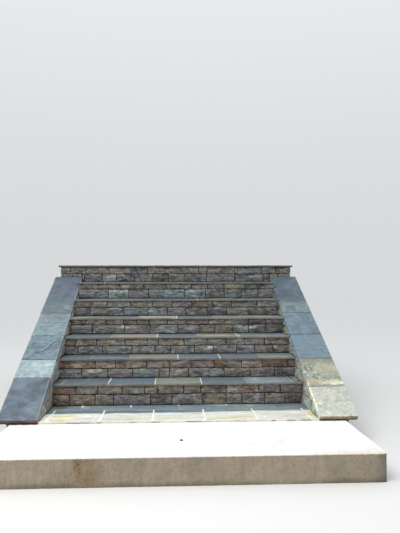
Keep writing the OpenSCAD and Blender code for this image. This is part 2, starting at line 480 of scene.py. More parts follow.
def slab_stone(name, rim_light=0.0, patch=5.0, soft=1.0):
    m = Mat(name)
    tone, tone2 = m.attr("tone", "Color"), m.attr("tone2", "Color")
    p = m.vec("ADD", m.here(), m.attr("seed", "Vector"))
    big = m.noise(p, patch, 4.0, 0.6, 0.8)
    c = m.mix(m.span(big, 0.44, 0.62, 0.0, 1.0), tone, tone2)
    mid = m.noise(m.vec("MULTIPLY", p, (1.0, 1.6, 1.0)), 17.0, 5.0, 0.6, 0.6)
    c = m.scale(c, m.span(mid, 0.3, 0.7, 1 - 0.16 * soft, 1 + 0.17 * soft, "LINEAR"))
    vein = m.noise(p, 52.0, 4.0, 0.65, 0.4)
    c = m.scale(c, m.span(vein, 0.3, 0.7, 1 - 0.10 * soft, 1 + 0.11 * soft, "LINEAR"))
    grain = m.noise(p, 260.0, 2.0, 0.6)
    c = m.scale(c, m.span(grain, 0.3, 0.7, 0.92, 1.09, "LINEAR"))
    # the rims are painted lighter or darker by rim_light; on the coping this is a painted highlight along the edges
    rim = m.math("MULTIPLY", m.attr("rim", "Fac"), m.span(vein, 0.35, 0.6, 0.5, 1.1))
    c = m.scale(c, m.span(rim, 0.0, 1.0, 1.0, 1.0 + rim_light, "LINEAR"))
    h = m.math("ADD", m.math("MULTIPLY", mid, 0.7), m.math("MULTIPLY", vein, 0.5))
    h = m.math("ADD", h, m.math("MULTIPLY", grain, 0.12))
    m.bump(h, 0.5, 0.003)
    return m.done(c, m.span(vein, 0.3, 0.7, 0.52, 0.78, "LINEAR"), 0.4)


def cement(name, low, high, scale=40.0, pits=0.25, bump=0.4):
    """Mortar and block: a sandy grain between two tones, with pits."""
    m = Mat(name)
    p = m.here()
    n = m.noise(p, scale, 6.0, 0.65, 0.2)
    c = m.mix(m.span(n, 0.32, 0.66, 0.0, 1.0), (*low, 1), (*high, 1))
    big = m.noise(p, 3.2, 3.0, 0.5, 0.4)
    c = m.scale(c, m.span(big, 0.3, 0.7, 0.84, 1.12, "LINEAR"))
    sand = m.cells(p, 330.0)
    c = m.scale(c, m.span(sand, 0.1, 0.5, 1 - pits, 1.0))
    h = m.math("ADD", m.math("MULTIPLY", n, 1.0), m.math("MULTIPLY", sand, 0.35))
    m.bump(h, bump, 0.003)
    return m.done(c, m.span(n, 0.3, 0.7, 0.85, 0.97, "LINEAR"), 0.2)


def poured(name):
    """Trowelled concrete: tone comes from the mesh, with sand, pores, faint form streaks and stains."""
    m = Mat(name)
    p = m.here()
    tone, tone2 = m.attr("tone", "Color"), m.attr("tone2", "Color")
    speck = m.noise(p, 62.0, 3.0, 0.6, 0.4)
    c = m.mix(m.span(speck, 0.50, 0.64, 0.0, 1.0), tone, tone2)
    blot = m.noise(p, 2.6, 5.0, 0.6, 0.8)
    c = m.scale(c, m.span(blot, 0.36, 0.66, 1.03, 0.93, "LINEAR"))
    swirl = m.noise(m.vec("MULTIPLY", p, (1.0, 3.5, 1.0)), 6.0, 4.0, 0.55, 1.4)
    c = m.scale(c, m.span(swirl, 0.3, 0.7, 0.93, 1.06, "LINEAR"))
    drip = m.noise(m.vec("MULTIPLY", p, (9.0, 9.0, 1.6)), 3.0, 4.0, 0.6, 0.3)
    c = m.scale(c, m.span(drip, 0.3, 0.7, 0.90, 1.09, "LINEAR"))
    sand = m.noise(p, 150.0, 4.0, 0.7)
    c = m.scale(c, m.span(sand, 0.3, 0.7, 0.90, 1.10, "LINEAR"))
    pore = m.cells(p, 60.0)
    c = m.scale(c, m.span(pore, 0.02, 0.10, 0.68, 1.0))
    h = m.math("ADD", m.math("MULTIPLY", swirl, 0.9), m.math("MULTIPLY", sand, 0.35))
    h = m.math("ADD", h, m.span(pore, 0.02, 0.10, -0.4, 0.0))
    m.bump(h, 0.4, 0.0025)
    return m.done(c, m.span(sand, 0.3, 0.7, 0.78, 0.95, "LINEAR"), 0.25)


FACING = split_stone("split facing stone")
CHEEK = split_stone("light split facing stone", bed=1.6, edge_stain_and_shade=0.12, contrast=0.40, fleck=0.20)
SLATE = slab_stone("cleft flagstone", rim_light=-0.10)
# the coping's rims are painted lighter: a painted highlight
COPING = slab_stone("coping flagstone", rim_light=0.30, patch=4.0, soft=1.15)
APRON = slab_stone("apron flagstone", rim_light=-0.05, patch=5.0, soft=0.9)
WHITE = cement("white mortar", lin((238, 238, 232)), lin((250, 250, 246)), 55, 0.10, 0.35)
PALE = cement("pale mortar", lin((206, 206, 198)), lin((236, 235, 228)), 55, 0.15, 0.35)
GREY = cement("grey mortar", lin((140, 143, 142)), lin((174, 176, 172)), 55, 0.20, 0.35)
DARK = cement("recessed mortar", lin((46, 42, 38)), lin((74, 67, 60)), 45, 0.4, 0.6)
BLOCK = cement("block masonry", lin((140, 138, 134)), lin((176, 173, 166)), 30, 0.3, 0.6)
BASE = cement("bed concrete", lin((172, 166, 152)), lin((202, 196, 182)), 24, 0.25, 0.5)
CONCRETE = poured("trowelled concrete")


def stone_tones(code, gain=1.0):
    a = lin(STONE[code[0]]) * GAIN_STONE * gain
    b = lin(STONE[code[1]]) * GAIN_STONE * gain
    return a.mean() + (a - a.mean()) * RICH, b.mean() + (b - b.mean()) * RICH


def flag_tones(code):
    a = lin(FLAG[code[0]]) * GAIN_FLAG
    b = lin(FLAG[code[1]]) * GAIN_FLAG if len(code) > 1 else a * 0.86
    return a, b


# ------------------------------------------------------------------ risers
# joints across each riser, lower course then upper course, and the kind of each stone
RISERS = {
    1: (0.106,
        [-1.015, -0.78, -0.61, -0.265, -0.065, 0.225, 0.445, 0.595, 0.81, 1.005],
        "nt tk kg mb gd gb kt mg wg tm md",
        [-0.955, -0.755, -0.53, -0.32, -0.195, 0.045, 0.205, 0.445, 0.755, 0.96],
        "nm tg tm gt tn kt mn dk tm mt mg"),
    2: (0.096,
        [-0.95, -0.695, -0.45, -0.19, -0.09, 0.10, 0.455, 0.715, 0.96],
        "bw kg gm eb mg gk gb kt mt dm",
        [-0.82, -0.62, -0.315, -0.09, 0.125, 0.355, 0.63, 0.835, 1.095],
        "nt tk tn tg mt nm tm tk nm gd"),
    3: (0.0885,
        [-1.03, -0.78, -0.48, -0.24, -0.075, 0.17, 0.37, 0.615, 0.805, 1.0],
        "md gm gk mg dg bg gt mt gm tn nt",
        [-1.055, -0.84, -0.55, -0.32, -0.205, 0.065, 0.305, 0.5, 0.695, 0.91],
        "mn nt gk tk gt tn tg kg tm mt dk"),
    4: (0.099,
        [-0.925, -0.58, -0.3, 0.0, 0.245, 0.41, 0.6, 0.78, 0.965],
        "bg ge gd gw mg td kg gw gd dg",
        [-0.995, -0.78, -0.585, -0.445, -0.31, -0.11, 0.1, 0.34, 0.51, 0.78, 0.97],
        "nd tk kt dn mk kg gt tn kt gk md gk"),
    5: (0.0965,
        [-0.99, -0.615, -0.335, -0.11, 0.1, 0.35, 0.57, 0.815],
        "gd gm eb ge gg kd gs kg gd",
        [-0.97, -0.8, -0.535, -0.285, -0.06, 0.17, 0.405, 0.625, 0.925],
        "nk kt ke kt kg tm nk kt gn mg"),
    6: (0.113,
        [-0.815, -0.575, -0.34, -0.155, 0.09, 0.345, 0.57, 0.78, 0.98],
        "gb ew gd eg ew gw gs eg gs mg",
        [-0.94, -0.68, -0.395, -0.12, 0.175, 0.37, 0.57, 0.825, 1.055],
        "kd tn kd kg gk tg kg kt gd gk"),
    7: (0.1025,
        [-1.145, -0.92, -0.75, -0.525, -0.3, -0.095, 0.1, 0.375, 0.73, 1.1],
        "gd gs gw gs gb gd gk bd gm gs dg",
        [-1.32, -1.125, -0.84, -0.57, -0.36, -0.145, 0.055, 0.28, 0.38, 0.73, 1.07, 1.25],
        "gk gd kg gt ks td gk kg tk gt gm gk gd"),
}
CORNER = tuple(np.round(np.linspace(0.012, 0.098, 8), 4))


def lay(bag, F, xs, v0, v1, kinds, rg, gap=0.006, ends=False, marks=None, step=0.006, **opt):
    """One course: stones between the joints xs."""
    for i, (a, b) in enumerate(zip(xs[:-1], xs[1:])):
        o = dict(opt)
        if ends and (i == 0 or i == len(xs) - 2):
            o.update(depths=CORNER, side=0.003, bulge=0.003)
        ga = 0.0 if i == 0 else gap / 2
        gb = 0.0 if i == len(xs) - 2 else gap / 2
        block(bag, F, a + ga, b - gb, v0, v1, rg, rock(rg), stone_tones(kinds[i]), step=step, fine=(0, 0.0025, 0.006),
              r=0.004, wob=0.003, paint=marks, **o)


# rust, ochre and pale marks on the riser stones: riser, centre x, centre z above the riser's foot, half sizes, kind,
# strength
MARKS = [
    (1, 0.560, 0.140, 0.035, 0.032, "rk", 0.6), (1, 0.655, 0.145, 0.070, 0.030, "r", 0.85),
    (1, -1.080, 0.140, 0.090, 0.045, "r", 0.55), (1, -1.010, 0.150, 0.030, 0.030, "p", 0.5),
    (1, -0.850, 0.030, 0.050, 0.035, "n", 0.7), (1, -0.640, 0.145, 0.018, 0.030, "r", 0.5),
    (1, -0.330, 0.060, 0.035, 0.050, "n", 0.5), (1, 0.735, 0.055, 0.020, 0.045, "w", 0.8),
    (1, 0.665, 0.045, 0.028, 0.022, "e", 0.5), (1, -0.170, 0.050, 0.060, 0.030, "s", 0.45),
    (1, 0.170, 0.140, 0.030, 0.040, "n", 0.7), (1, 0.250, 0.135, 0.040, 0.030, "k", 0.5),
    (2, -0.870, 0.140, 0.026, 0.045, "o", 0.85), (2, 0.405, 0.135, 0.045, 0.035, "o", 0.7),
    (2, 0.350, 0.145, 0.030, 0.030, "r", 0.5), (2, 0.960, 0.140, 0.120, 0.036, "r", 0.8),
    (2, -1.120, 0.135, 0.070, 0.050, "r", 0.6), (2, -1.090, 0.040, 0.090, 0.025, "n", 0.4),
    (2, 0.200, 0.045, 0.045, 0.030, "s", 0.8), (2, 0.340, 0.070, 0.100, 0.018, "e", 0.6),
    (2, -0.360, 0.055, 0.080, 0.030, "e", 0.55), (2, -0.560, 0.140, 0.060, 0.035, "n", 0.5),
    (3, 0.660, 0.130, 0.035, 0.035, "t", 0.8), (3, 0.690, 0.150, 0.030, 0.020, "o", 0.4),
    (3, -0.740, 0.135, 0.050, 0.030, "n", 0.6), (3, 0.320, 0.060, 0.060, 0.020, "w", 0.5),
    (4, -0.860, 0.150, 0.030, 0.025, "o", 0.6), (4, 0.780, 0.060, 0.050, 0.020, "w", 0.6),
    (4, 0.150, 0.060, 0.080, 0.018, "w", 0.4), (5, -0.450, 0.145, 0.035, 0.030, "y", 0.6),
    (4, -0.900, 0.135, 0.040, 0.030, "y", 0.7), (4, -0.560, 0.075, 0.120, 0.014, "w", 0.5), (4, -0.200, 0.045, 0.090, 0.016, "s", 0.5),
    (4, 0.820, 0.070, 0.080, 0.014, "w", 0.5), (5, -0.300, 0.060, 0.060, 0.020, "w", 0.4), (5, 0.250, 0.050, 0.060, 0.022, "s", 0.6),
    (6, -0.620, 0.080, 0.070, 0.020, "w", 0.6), (6, 0.120, 0.090, 0.080, 0.018, "w", 0.6), (6, 0.300, 0.050, 0.045, 0.026, "s", 0.7),
    (6, 0.960, 0.060, 0.050, 0.024, "p", 0.6), (6, -0.960, 0.050, 0.040, 0.024, "s", 0.6), (6, -0.600, 0.150, 0.060, 0.020, "w", 0.4),
    (7, -0.800, 0.070, 0.060, 0.018, "w", 0.6), (7, -0.480, 0.060, 0.040, 0.024, "s", 0.5), (7, 0.580, 0.080, 0.060, 0.020, "s", 0.4),
    (7, 1.000, 0.070, 0.090, 0.016, "w", 0.5), (3, -0.560, 0.045, 0.070, 0.026, "s", 0.5), (3, 0.850, 0.050, 0.080, 0.020, "e", 0.5),
    (1, -0.500, 0.050, 0.040, 0.030, "s", 0.5), (1, 0.060, 0.040, 0.090, 0.020, "s", 0.35), (1, 0.990, 0.050, 0.020, 0.050, "s", 0.4),
    (2, -0.640, 0.035, 0.050, 0.016, "s", 0.6), (2, -0.820, 0.070, 0.090, 0.018, "w", 0.45), (2, 0.000, 0.065, 0.050, 0.020, "w", 0.5),
    (2, -0.110, 0.060, 0.014, 0.030, "w", 0.5), (2, 0.620, 0.070, 0.100, 0.018, "e", 0.5), (2, 0.900, 0.055, 0.100, 0.020, "s", 0.4),
]
MARK_TONE = {"r": (108, 84, 66), "o": (124, 103, 72), "p": (92, 86, 98), "n": (92, 78, 68), "k": (112, 104, 82),
             "rk": (108, 98, 78), "w": (160, 168, 170), "e": (104, 111, 106), "s": (62, 63, 72), "t": (140, 128, 112),
             "y": (128, 118, 92)}


# light or dark: lower course, upper course
RISER_GAIN = {
    1: ((0.90, 0.88, 0.90), (0.99, 0.99, 1.00)), 2: ((0.94, 0.94, 0.95), (1.02, 0.98, 0.98)),
    3: ((0.97, 1.03, 1.08), (0.97, 1.03, 1.08)), 4: ((0.84, 0.85, 0.88), (0.84, 0.85, 0.88)),
    5: ((0.88, 0.93, 1.00), (0.88, 0.93, 0.98)), 6: ((0.87, 0.94, 1.00), (0.89, 0.94, 0.98)),
    7: ((0.85, 0.89, 0.92), (0.86, 0.89, 0.92)),
}


def marked(k):
    """Local stains of one riser: soft-edged, broken up by noise."""
    def f(u, v, w, A, B):
        q = np.stack([u * 26, v * 34, np.full(len(u), 3.7 * k)], 1)
        n = fbm(q, 3, 50 + k)
        for kk, x, z, rx, rz, tone, s in MARKS:
            if kk != k or abs(u.mean() - x) > 0.5:
                continue
            d = np.hypot((u - x) / rx, (v - TOP[k - 1] - z) / rz) + 0.55 * n
            a = (s * smooth(1.35, 0.35, d))[:, None]
            c = lin(MARK_TONE[tone]) * GAIN_STONE
            A, B = A * (1 - a) + c * a, B * (1 - a) + c * 0.85 * a
        lo, hi = RISER_GAIN[k]
        g = np.array(lo if v.mean() < TOP[k - 1] + RISERS[k][0] else hi)
        return A * g, B * g
    return f


mortar = Bag()
for k in range(1, 8):
    low, jl, kl, ju, ku = RISERS[k][0], RISERS[k][1], RISERS[k][2].split(), RISERS[k][3], RISERS[k][4].split()
    rg = np.random.default_rng(100 + k)
    bag = Bag()
    F = axes((0, face(k) - PROUD, 0), (1, 0, 0), (0, 0, 1), (0, -1, 0))
    z0, z1 = TOP[k - 1], TOP[k] - TREAD_T
    lay(bag, F, [-HW] + jl + [HW], z0 + 0.007, z0 + low - 0.003, kl, rg, ends=k > 3, marks=marked(k),
        step=0.006 if k < 4 else 0.0075)
    xu = OUT if k == 7 else HW
    lay(bag, F, [-xu] + ju + [xu], z0 + low + 0.003, z1 - 0.002, ku, rg, ends=k > 3, marks=marked(k),
        step=0.006 if k < 4 else 0.0075)
    if k == 7:
        # what shows of the lower course above the coping, at the ends of the landing walls
        for a, b, c in ((-OUT, -1.30, "gb"), (-1.29, -HW - 0.006, "mg"), (HW + 0.006, 1.27, "kg"), (1.28, OUT, "gb")):
            block(bag, F, a, b, 1.434, z0 + low - 0.003, rg, rock(rg), stone_tones(c),
                  depths=CORNER, side=0.003)
    bag.make(f"riser_{k}_stones", FACING, "facing_stone", [f"riser_{k}"])
    block(mortar, axes((0, face(k), 0), (1, 0, 0), (0, 0, 1), (0, -1, 0)), -HW + 0.004, HW - 0.004, z0, z1, rg,
          (lambda f: lambda x, y, e, w, h: f(x, y, e, w, h) - 0.004)(rough(rg)),
          (lin((50, 45, 42)),) * 2, step=0.04, fine=(0,), r=0, wob=0, depths=(0.093,))
    if 4 <= k <= 6:
        # the masonry behind the riser, seen over the coping
        for s in (-1, 1):
            G = axes((s * HW, 0, 0), (0, s, 0), (0, 0, 1), (s, 0, 0))
            a, b = sorted((s * (face(k) + 0.106), s * (face(k) + 0.262)))
            block(mortar, G, a, b, z1 - 0.078, z1 - 0.002, rg, rock(rg, drop=0.006), (lin((70, 66, 62)) * 1.6,) * 2,
                  depths=(0.02,))


# ------------------------------------------------------------------ walls
def joints(rg, a, b, lo, hi, avoid, fixed=()):
    """Joints from a to b, kept off those of the course below."""
    marks = [a] + sorted(f for f in fixed if a < f < b) + [b]
    out = [a]
    for m0, m1 in zip(marks[:-1], marks[1:]):
        x = m0
        while m1 - x > hi:
            n = x + rg.uniform(lo, hi)
            for _ in range(6):
                if all(abs(n - v) > 0.045 for v in avoid):
                    break
                n = x + rg.uniform(lo, hi)
            if m1 - n < lo * 0.6:
                n = x + (m1 - x) / 2
            out.append(n)
            x = n
        out.append(m1)
    return out


def courses(rg, total, lo, hi):
    n = max(1, int(round(total / ((lo + hi) / 2))))
    h = rg.uniform(lo, hi, n)
    h *= total / h.sum()
    return np.concatenate([[0], np.cumsum(h)])


KINDS = "g g g g b b k k k m m m m n t t t d d y w r".split()
WALL_GAIN = np.array([0.89, 0.92, 0.94])


def pick(rg):
    return KINDS[int(rg.integers(len(KINDS)))] + KINDS[int(rg.integers(len(KINDS)))]


LEVELS = courses(np.random.default_rng(5), LAND_Z, 0.070, 0.100)
DEEP = tuple(np.round(np.linspace(0.014, 0.128, 8), 4))
RETURN = 0.128


def side_plane(sign):
    """Outer face of one side: the sloping wall and the wall under the landing."""
    rg = np.random.default_rng(40 + sign)
    F = axes((sign * OUT, 0, 0), (0, sign, 0), (0, 0, 1), (sign, 0, 0))
    slope, land = Bag(), Bag()
    before = []
    for c in range(len(LEVELS) - 1):
        z0, z1 = LEVELS[c], LEVELS[c + 1]
        start = Y_WALL if z0 < under_cap(Y_WALL) else CAP_Y + (z0 + 0.016 - under_cap(CAP_Y)) / SLOPE
        full = z1 > under_cap(Y_LAND) - 0.002
        end = Y_BACK if c % 2 == 0 else Y_BACK - RETURN - 0.007
        a = start
        if full:
            a = Y_LAND if z0 > under_cap(Y_LAND) - 0.03 else start
        # the landing's front course turns the corner with its own stones
        if full and z0 > 1.40:
            a = Y_LAND + 0.106
        js = joints(rg, a, end, 0.17, 0.37, before, fixed=(Y_LAND,) if full and a < Y_LAND else ())
        before = js
        for i, (p, q) in enumerate(zip(js[:-1], js[1:])):
            y0 = p + (0 if i == 0 else 0.0035)
            y1 = q - (0 if i == len(js) - 2 else 0.0035)
            u0, u1 = sorted((sign * y0, sign * y1))
            top = None
            if y0 < Y_LAND and z1 > under_cap(y0):
                top = (lambda u: np.minimum(z1 - 0.003, under_cap(u * sign) - 0.003))
            o = dict(step=0.0185, fine=(0, 0.004, 0.010), r=0.004, top=top)
            if i == len(js) - 2 and c % 2 == 0:
                o.update(depths=DEEP, side=0.003, bulge=0.002)
            if i == 0 and (start == Y_WALL or full):
                o.update(depths=CORNER, side=0.003, bulge=0.002)
            bag = slope if (p + q) / 2 < Y_LAND else land
            block(bag, F, u0, u1, z0 + 0.003, z1 - 0.003, rg, rock(rg), stone_tones(pick(rg), WALL_GAIN), **o)
    return slope, land


def inner_face(sign, bag):
    """The face of the side wall that is seen above the treads: light, rough stone."""
    rg = np.random.default_rng(60 + sign)
    F = axes((sign * HW, 0, 0), (0, -sign, 0), (0, 0, 1), (-sign, 0, 0))
    marks = []
    for k in range(1, 7):
        z0, z1 = TOP[k - 1], TOP[k]
        mid = z0 + 0.094
        marks += [(z0, mid, face(k)), (mid, z1, face(k))]
    for z0, z1, yf in marks:
        a = max(Y_WALL, CAP_Y + (z0 + 0.012 - under_cap(CAP_Y)) / SLOPE)
        b = yf + 0.02
        if b - a < 0.03:
            continue
        js = joints(rg, a, b, 0.16, 0.34, [])
        for i, (p, q) in enumerate(zip(js[:-1], js[1:])):
            y0, y1 = p + (0 if i == 0 else 0.0008), q - 0.0008
            u0, u1 = sorted((-sign * y0, -sign * y1))
            code = ("wg", "wt", "bw", "we", "wb", "ww", "wt")[int(rg.integers(7))] if sign > 0 else \
                   ("kg", "gk", "bg", "gt", "kt", "gw", "tk")[int(rg.integers(7))]
            # the right face is paler stone, painted lighter still towards its foot: painted sunlight
            gain = (1.15 + 0.62 * float(smooth(0.62, 0.25, np.array(z0)))) * np.array([1.0, 0.98, 0.90]) if sign > 0 else 1.45
            top = lambda u: np.minimum(z1 - 0.0006, under_cap(-u * sign) - 0.001)
            shift = rg.uniform(0.003, 0.009)
            rr = rock(rg, drop=0.003, edge=0.014, amp=0.0040, tilt=0.8)
            block(bag, F, u0, u1, z0 + 0.0006, z1 - 0.0006, rg,
                  (lambda f, s: lambda x, y, e, w, h: f(x, y, e, w, h) + s)(rr, shift),
                  stone_tones(code, gain), step=0.009, top=top, depths=(0.03,), wob=0.002)


for sign, side in ((-1, "left"), (1, "right")):
    slope, land = side_plane(sign)
    slope.make(f"{side}_wall_stones", FACING, "facing_stone", [f"{side}_side_wall"])
    land.make(f"{side}_landing_wall_stones", FACING, "facing_stone", [f"{side}_landing_wall"])
    inner = Bag()
    inner_face(sign, inner)
    inner.make(f"{side}_wall_inner_stones", CHEEK, "facing_stone")
    rg = np.random.default_rng(80 + sign)
    dull = (lin((50, 45, 42)),) * 2

    def flat(off):
        f = rough(rg, 0.0015, 12)
        return lambda x, y, e, w, h: f(x, y, e, w, h) - off
    # mortar bodies of the two walls: outer half and inner half
    G = axes((sign * OUT, 0, 0), (0, sign, 0), (0, 0, 1), (sign, 0, 0))
    u0, u1 = sorted((sign * (Y_WALL + 0.014), sign * (Y_LAND - 0.001)))
    top = lambda u: np.maximum(under_cap(u * sign) - 0.001, 0.02)
    block(mortar, G, u0, u1, 0.0, under_cap(Y_LAND), rg, flat(0.014), dull, step=0.06, fine=(0,), r=0, wob=0,
          depths=(0.119,), top=top)
    u0, u1 = sorted((sign * (Y_LAND + 0.014), sign * (Y_BACK - 0.014)))
    block(mortar, G, u0, u1, 0.0, LAND_Z, rg, flat(0.014), dull, step=0.08, fine=(0,), r=0, wob=0, depths=(0.24,))
    G = axes((sign * HW, 0, 0), (0, -sign, 0), (0, 0, 1), (-sign, 0, 0))
    u0, u1 = sorted((-sign * (Y_WALL + 0.014), -sign * (Y_LAND - 0.001)))
    top = lambda u: np.maximum(under_cap(-u * sign) - 0.001, 0.02)
    block(mortar, G, u0, u1, 0.0, under_cap(Y_LAND), rg, flat(0.010), dull, step=0.06, fine=(0,), r=0, wob=0,
          depths=(0.119,), top=top)

# back wall
rg = np.random.default_rng(90)
bag = Bag()
F = axes((0, Y_BACK, 0), (-1, 0, 0), (0, 0, 1), (0, 1, 0))
before = []
for c in range(len(LEVELS) - 1):
    z0, z1 = LEVELS[c], LEVELS[c + 1]
    w = OUT - RETURN - 0.007 if c % 2 == 0 else OUT
    js = joints(rg, -w, w, 0.18, 0.38, before)
    before = js
    for i, (p, q) in enumerate(zip(js[:-1], js[1:])):
        o = dict(step=0.021, fine=(0, 0.004, 0.010), r=0.004)
        if c % 2 == 1 and i in (0, len(js) - 2):
            o.update(depths=DEEP, side=0.003, bulge=0.002)
        block(bag, F, p + (0 if i == 0 else 0.0035), q - (0 if i == len(js) - 2 else 0.0035), z0 + 0.003, z1 - 0.003,
              rg, rock(rg), stone_tones(pick(rg), WALL_GAIN), **o)
bag.make("back_wall_stones", FACING, "facing_stone", ["landing_back_wall"])
f = rough(rg, 0.0015, 12)
block(mortar, F, -HW - 0.02, HW + 0.02, 0.0, LAND_Z, rg, lambda x, y, e, w, h: f(x, y, e, w, h) - 0.014,
      (lin((50, 45, 42)),) * 2, step=0.08, fine=(0,), r=0, wob=0, depths=(0.084,))
mortar.make("recessed_mortar", DARK, "mortar_block")

# ------------------------------------------------------------------ flagstones
pale, white, mortar_grey = Bag(), Bag(), Bag()
EDGE = (0.12, 0.32, 0.55, 0.78, 0.94, 1.0)


def front_edge(y0, z, tone, mask=1.0):
    """The front edge of a row is warmer than its tops."""
    c = lin(FLAG[tone]) * GAIN_FLAG

    def f(u, v, w, A, B):
        n = fbm(np.stack([u * 7, v * 7, w * 20], 1), 2, 91)
        k = (smooth(y0 + 0.008, y0 + 0.003, v + 0.002 * n) * smooth(0.0, -0.0015, w) * mask * (0.9 + 0.25 * n)).clip(0, 1)[:, None]
        return A * (1 - k) + c * k, B * (1 - k) + c * 0.8 * k
    return f


def spots(items, seed, rx=9, ry=18):
    """Local tones on flagstones: centre x, centre y, half sizes, tone, strength."""
    def f(u, v, w, A, B):
        n = fbm(np.stack([u * rx, v * ry, np.full(len(u), seed * 1.3)], 1), 3, seed)
        for x, y, ax, ay, tone, s in items:
            d = np.hypot((u - x) / ax, (v - y) / ay) + 0.5 * n
            a = (s * smooth(1.3, 0.5, d))[:, None]
            c = lin(tone) * GAIN_FLAG
            A, B = A * (1 - a) + c * a, B * (1 - a) + c * 0.88 * a
        return A, B
    return f


def both(*fs):
    def f(u, v, w, A, B):
        for g in fs:
            A, B = g(u, v, w, A, B)
        return A, B
    return f


def flag_row(bag, js, x0, x1, y0, y1, z, kinds, rg, thick=TREAD_T, amp=0.0016, wobble=0.0018, front=0.0025, paint=None,
             faint=(), dashes=(), smear=None, dense=()):
    """One row of flagstones with pale mortar between them. The joints in faint are thin and grey; of those in dashes
    only the back part, from the given share of the depth on, is pale."""
    F = axes((0, 0, z), (1, 0, 0), (0, 1, 0), (0, 0, 1))
    xs = [x0 - JOINT / 2] + list(js) + [x1 + JOINT / 2]
    depths = tuple(d * thick for d in EDGE)
    for i, (a, b) in enumerate(zip(xs[:-1], xs[1:])):
        block(bag, F, a + JOINT / 2, b - JOINT / 2, y0 + rg.uniform(0, front), y1, rg,
              cleft(rg, amp, rg.uniform(2.6, 5.0)), flag_tones(kinds[i]), step=0.006 if i in dense else 0.013,
              fine=(0, 0.003, 0.008),
              r=0.004, wob=wobble, depths=depths, side=0.0022, bulge=0.0008, rim=0.008, paint=paint)
    for i, x in enumerate(js):
        cut = dict(dashes).get(i)
        if smear is not None:
            # mortar smeared over the edges, wider towards the front
            def widen(u, v, w, x=x):
                return x + (u - x) * (1 + 0.65 * smooth(y0 + 0.75 * (y1 - y0), y0 + 0.05, v)), v, w
            block(smear, F, x - 0.0068, x + 0.0068, y0 + 0.006, y1 + 0.004, rg,
                  (lambda f: lambda x, y, e, w, h: f(x, y, e, w, h) + 0.0020 - 0.0018 * np.clip(1 - e / 0.003, 0, 1))(
                      rough(rg, 0.0006, 45)),
                  (lin((240, 240, 236)),) * 2, step=0.008, fine=(0, 0.0015), r=0.003, wob=0.0022, depths=(thick - 0.004,),
                  warp=widen)
            continue
        if i in faint or cut is not None:
            if cut is not None:
                block(white, F, x - 0.0088, x + 0.0088, y0 + cut * (y1 - y0), y1 - 0.001, rg,
                      (lambda f: lambda x, y, e, w, h: f(x, y, e, w, h) + 0.0020)(rough(rg, 0.0007, 45)),
                      (lin((210, 208, 200)),) * 2, step=0.009, fine=(0,), r=0.002, wob=0.0012, depths=(thick - 0.004,))
            block(mortar_grey, F, x - 0.0058, x + 0.0058, y0 + 0.006, y1 - 0.001, rg,
                  (lambda f: lambda x, y, e, w, h: f(x, y, e, w, h) - 0.0016)(rough(rg, 0.0007, 45)),
                  (lin((150, 150, 146)),) * 2, step=0.011, fine=(0,), r=0.002, wob=0.0010, depths=(thick - 0.004,))
            continue
        block(pale, F, x - 0.0062, x + 0.0062, y0 + 0.005, y1 - 0.001, rg,
              (lambda f: lambda x, y, e, w, h: f(x, y, e, w, h) - 0.0008)(rough(rg, 0.0007, 45)),
              (lin((210, 208, 200)),) * 2, step=0.011, fine=(0,), r=0.002, wob=0.0010, depths=(thick - 0.004,))


TREADS = {
    1: ([-1.090, -0.660, -0.223, 0.214, 0.640, 1.060], "GX BV BV TC BV LN LT", (0, 4, 5)),
    2: ([-0.871, -0.479, -0.004, 0.415, 0.824], "BG BL TC BG BV LG", (0, 1, 4)),
    3: ([-1.120, -0.700, -0.217, 0.204, 0.633], "BG BG PT BV PY LG", (0, 1, 3)),
    4: ([-0.824, -0.432, -0.009, 0.391, 0.850], "TG GV JC VB PT CL", (0, 1, 3, 4)),
    5: ([-1.040, -0.610, -0.190, 0.230, 0.660], "BG TG GB BV TG GB", (0, 2, 4)),
    6: ([-0.860, -0.430, 0.010, 0.440, 0.870], "BG GT TG BG GB BV", (1, 3)),
}
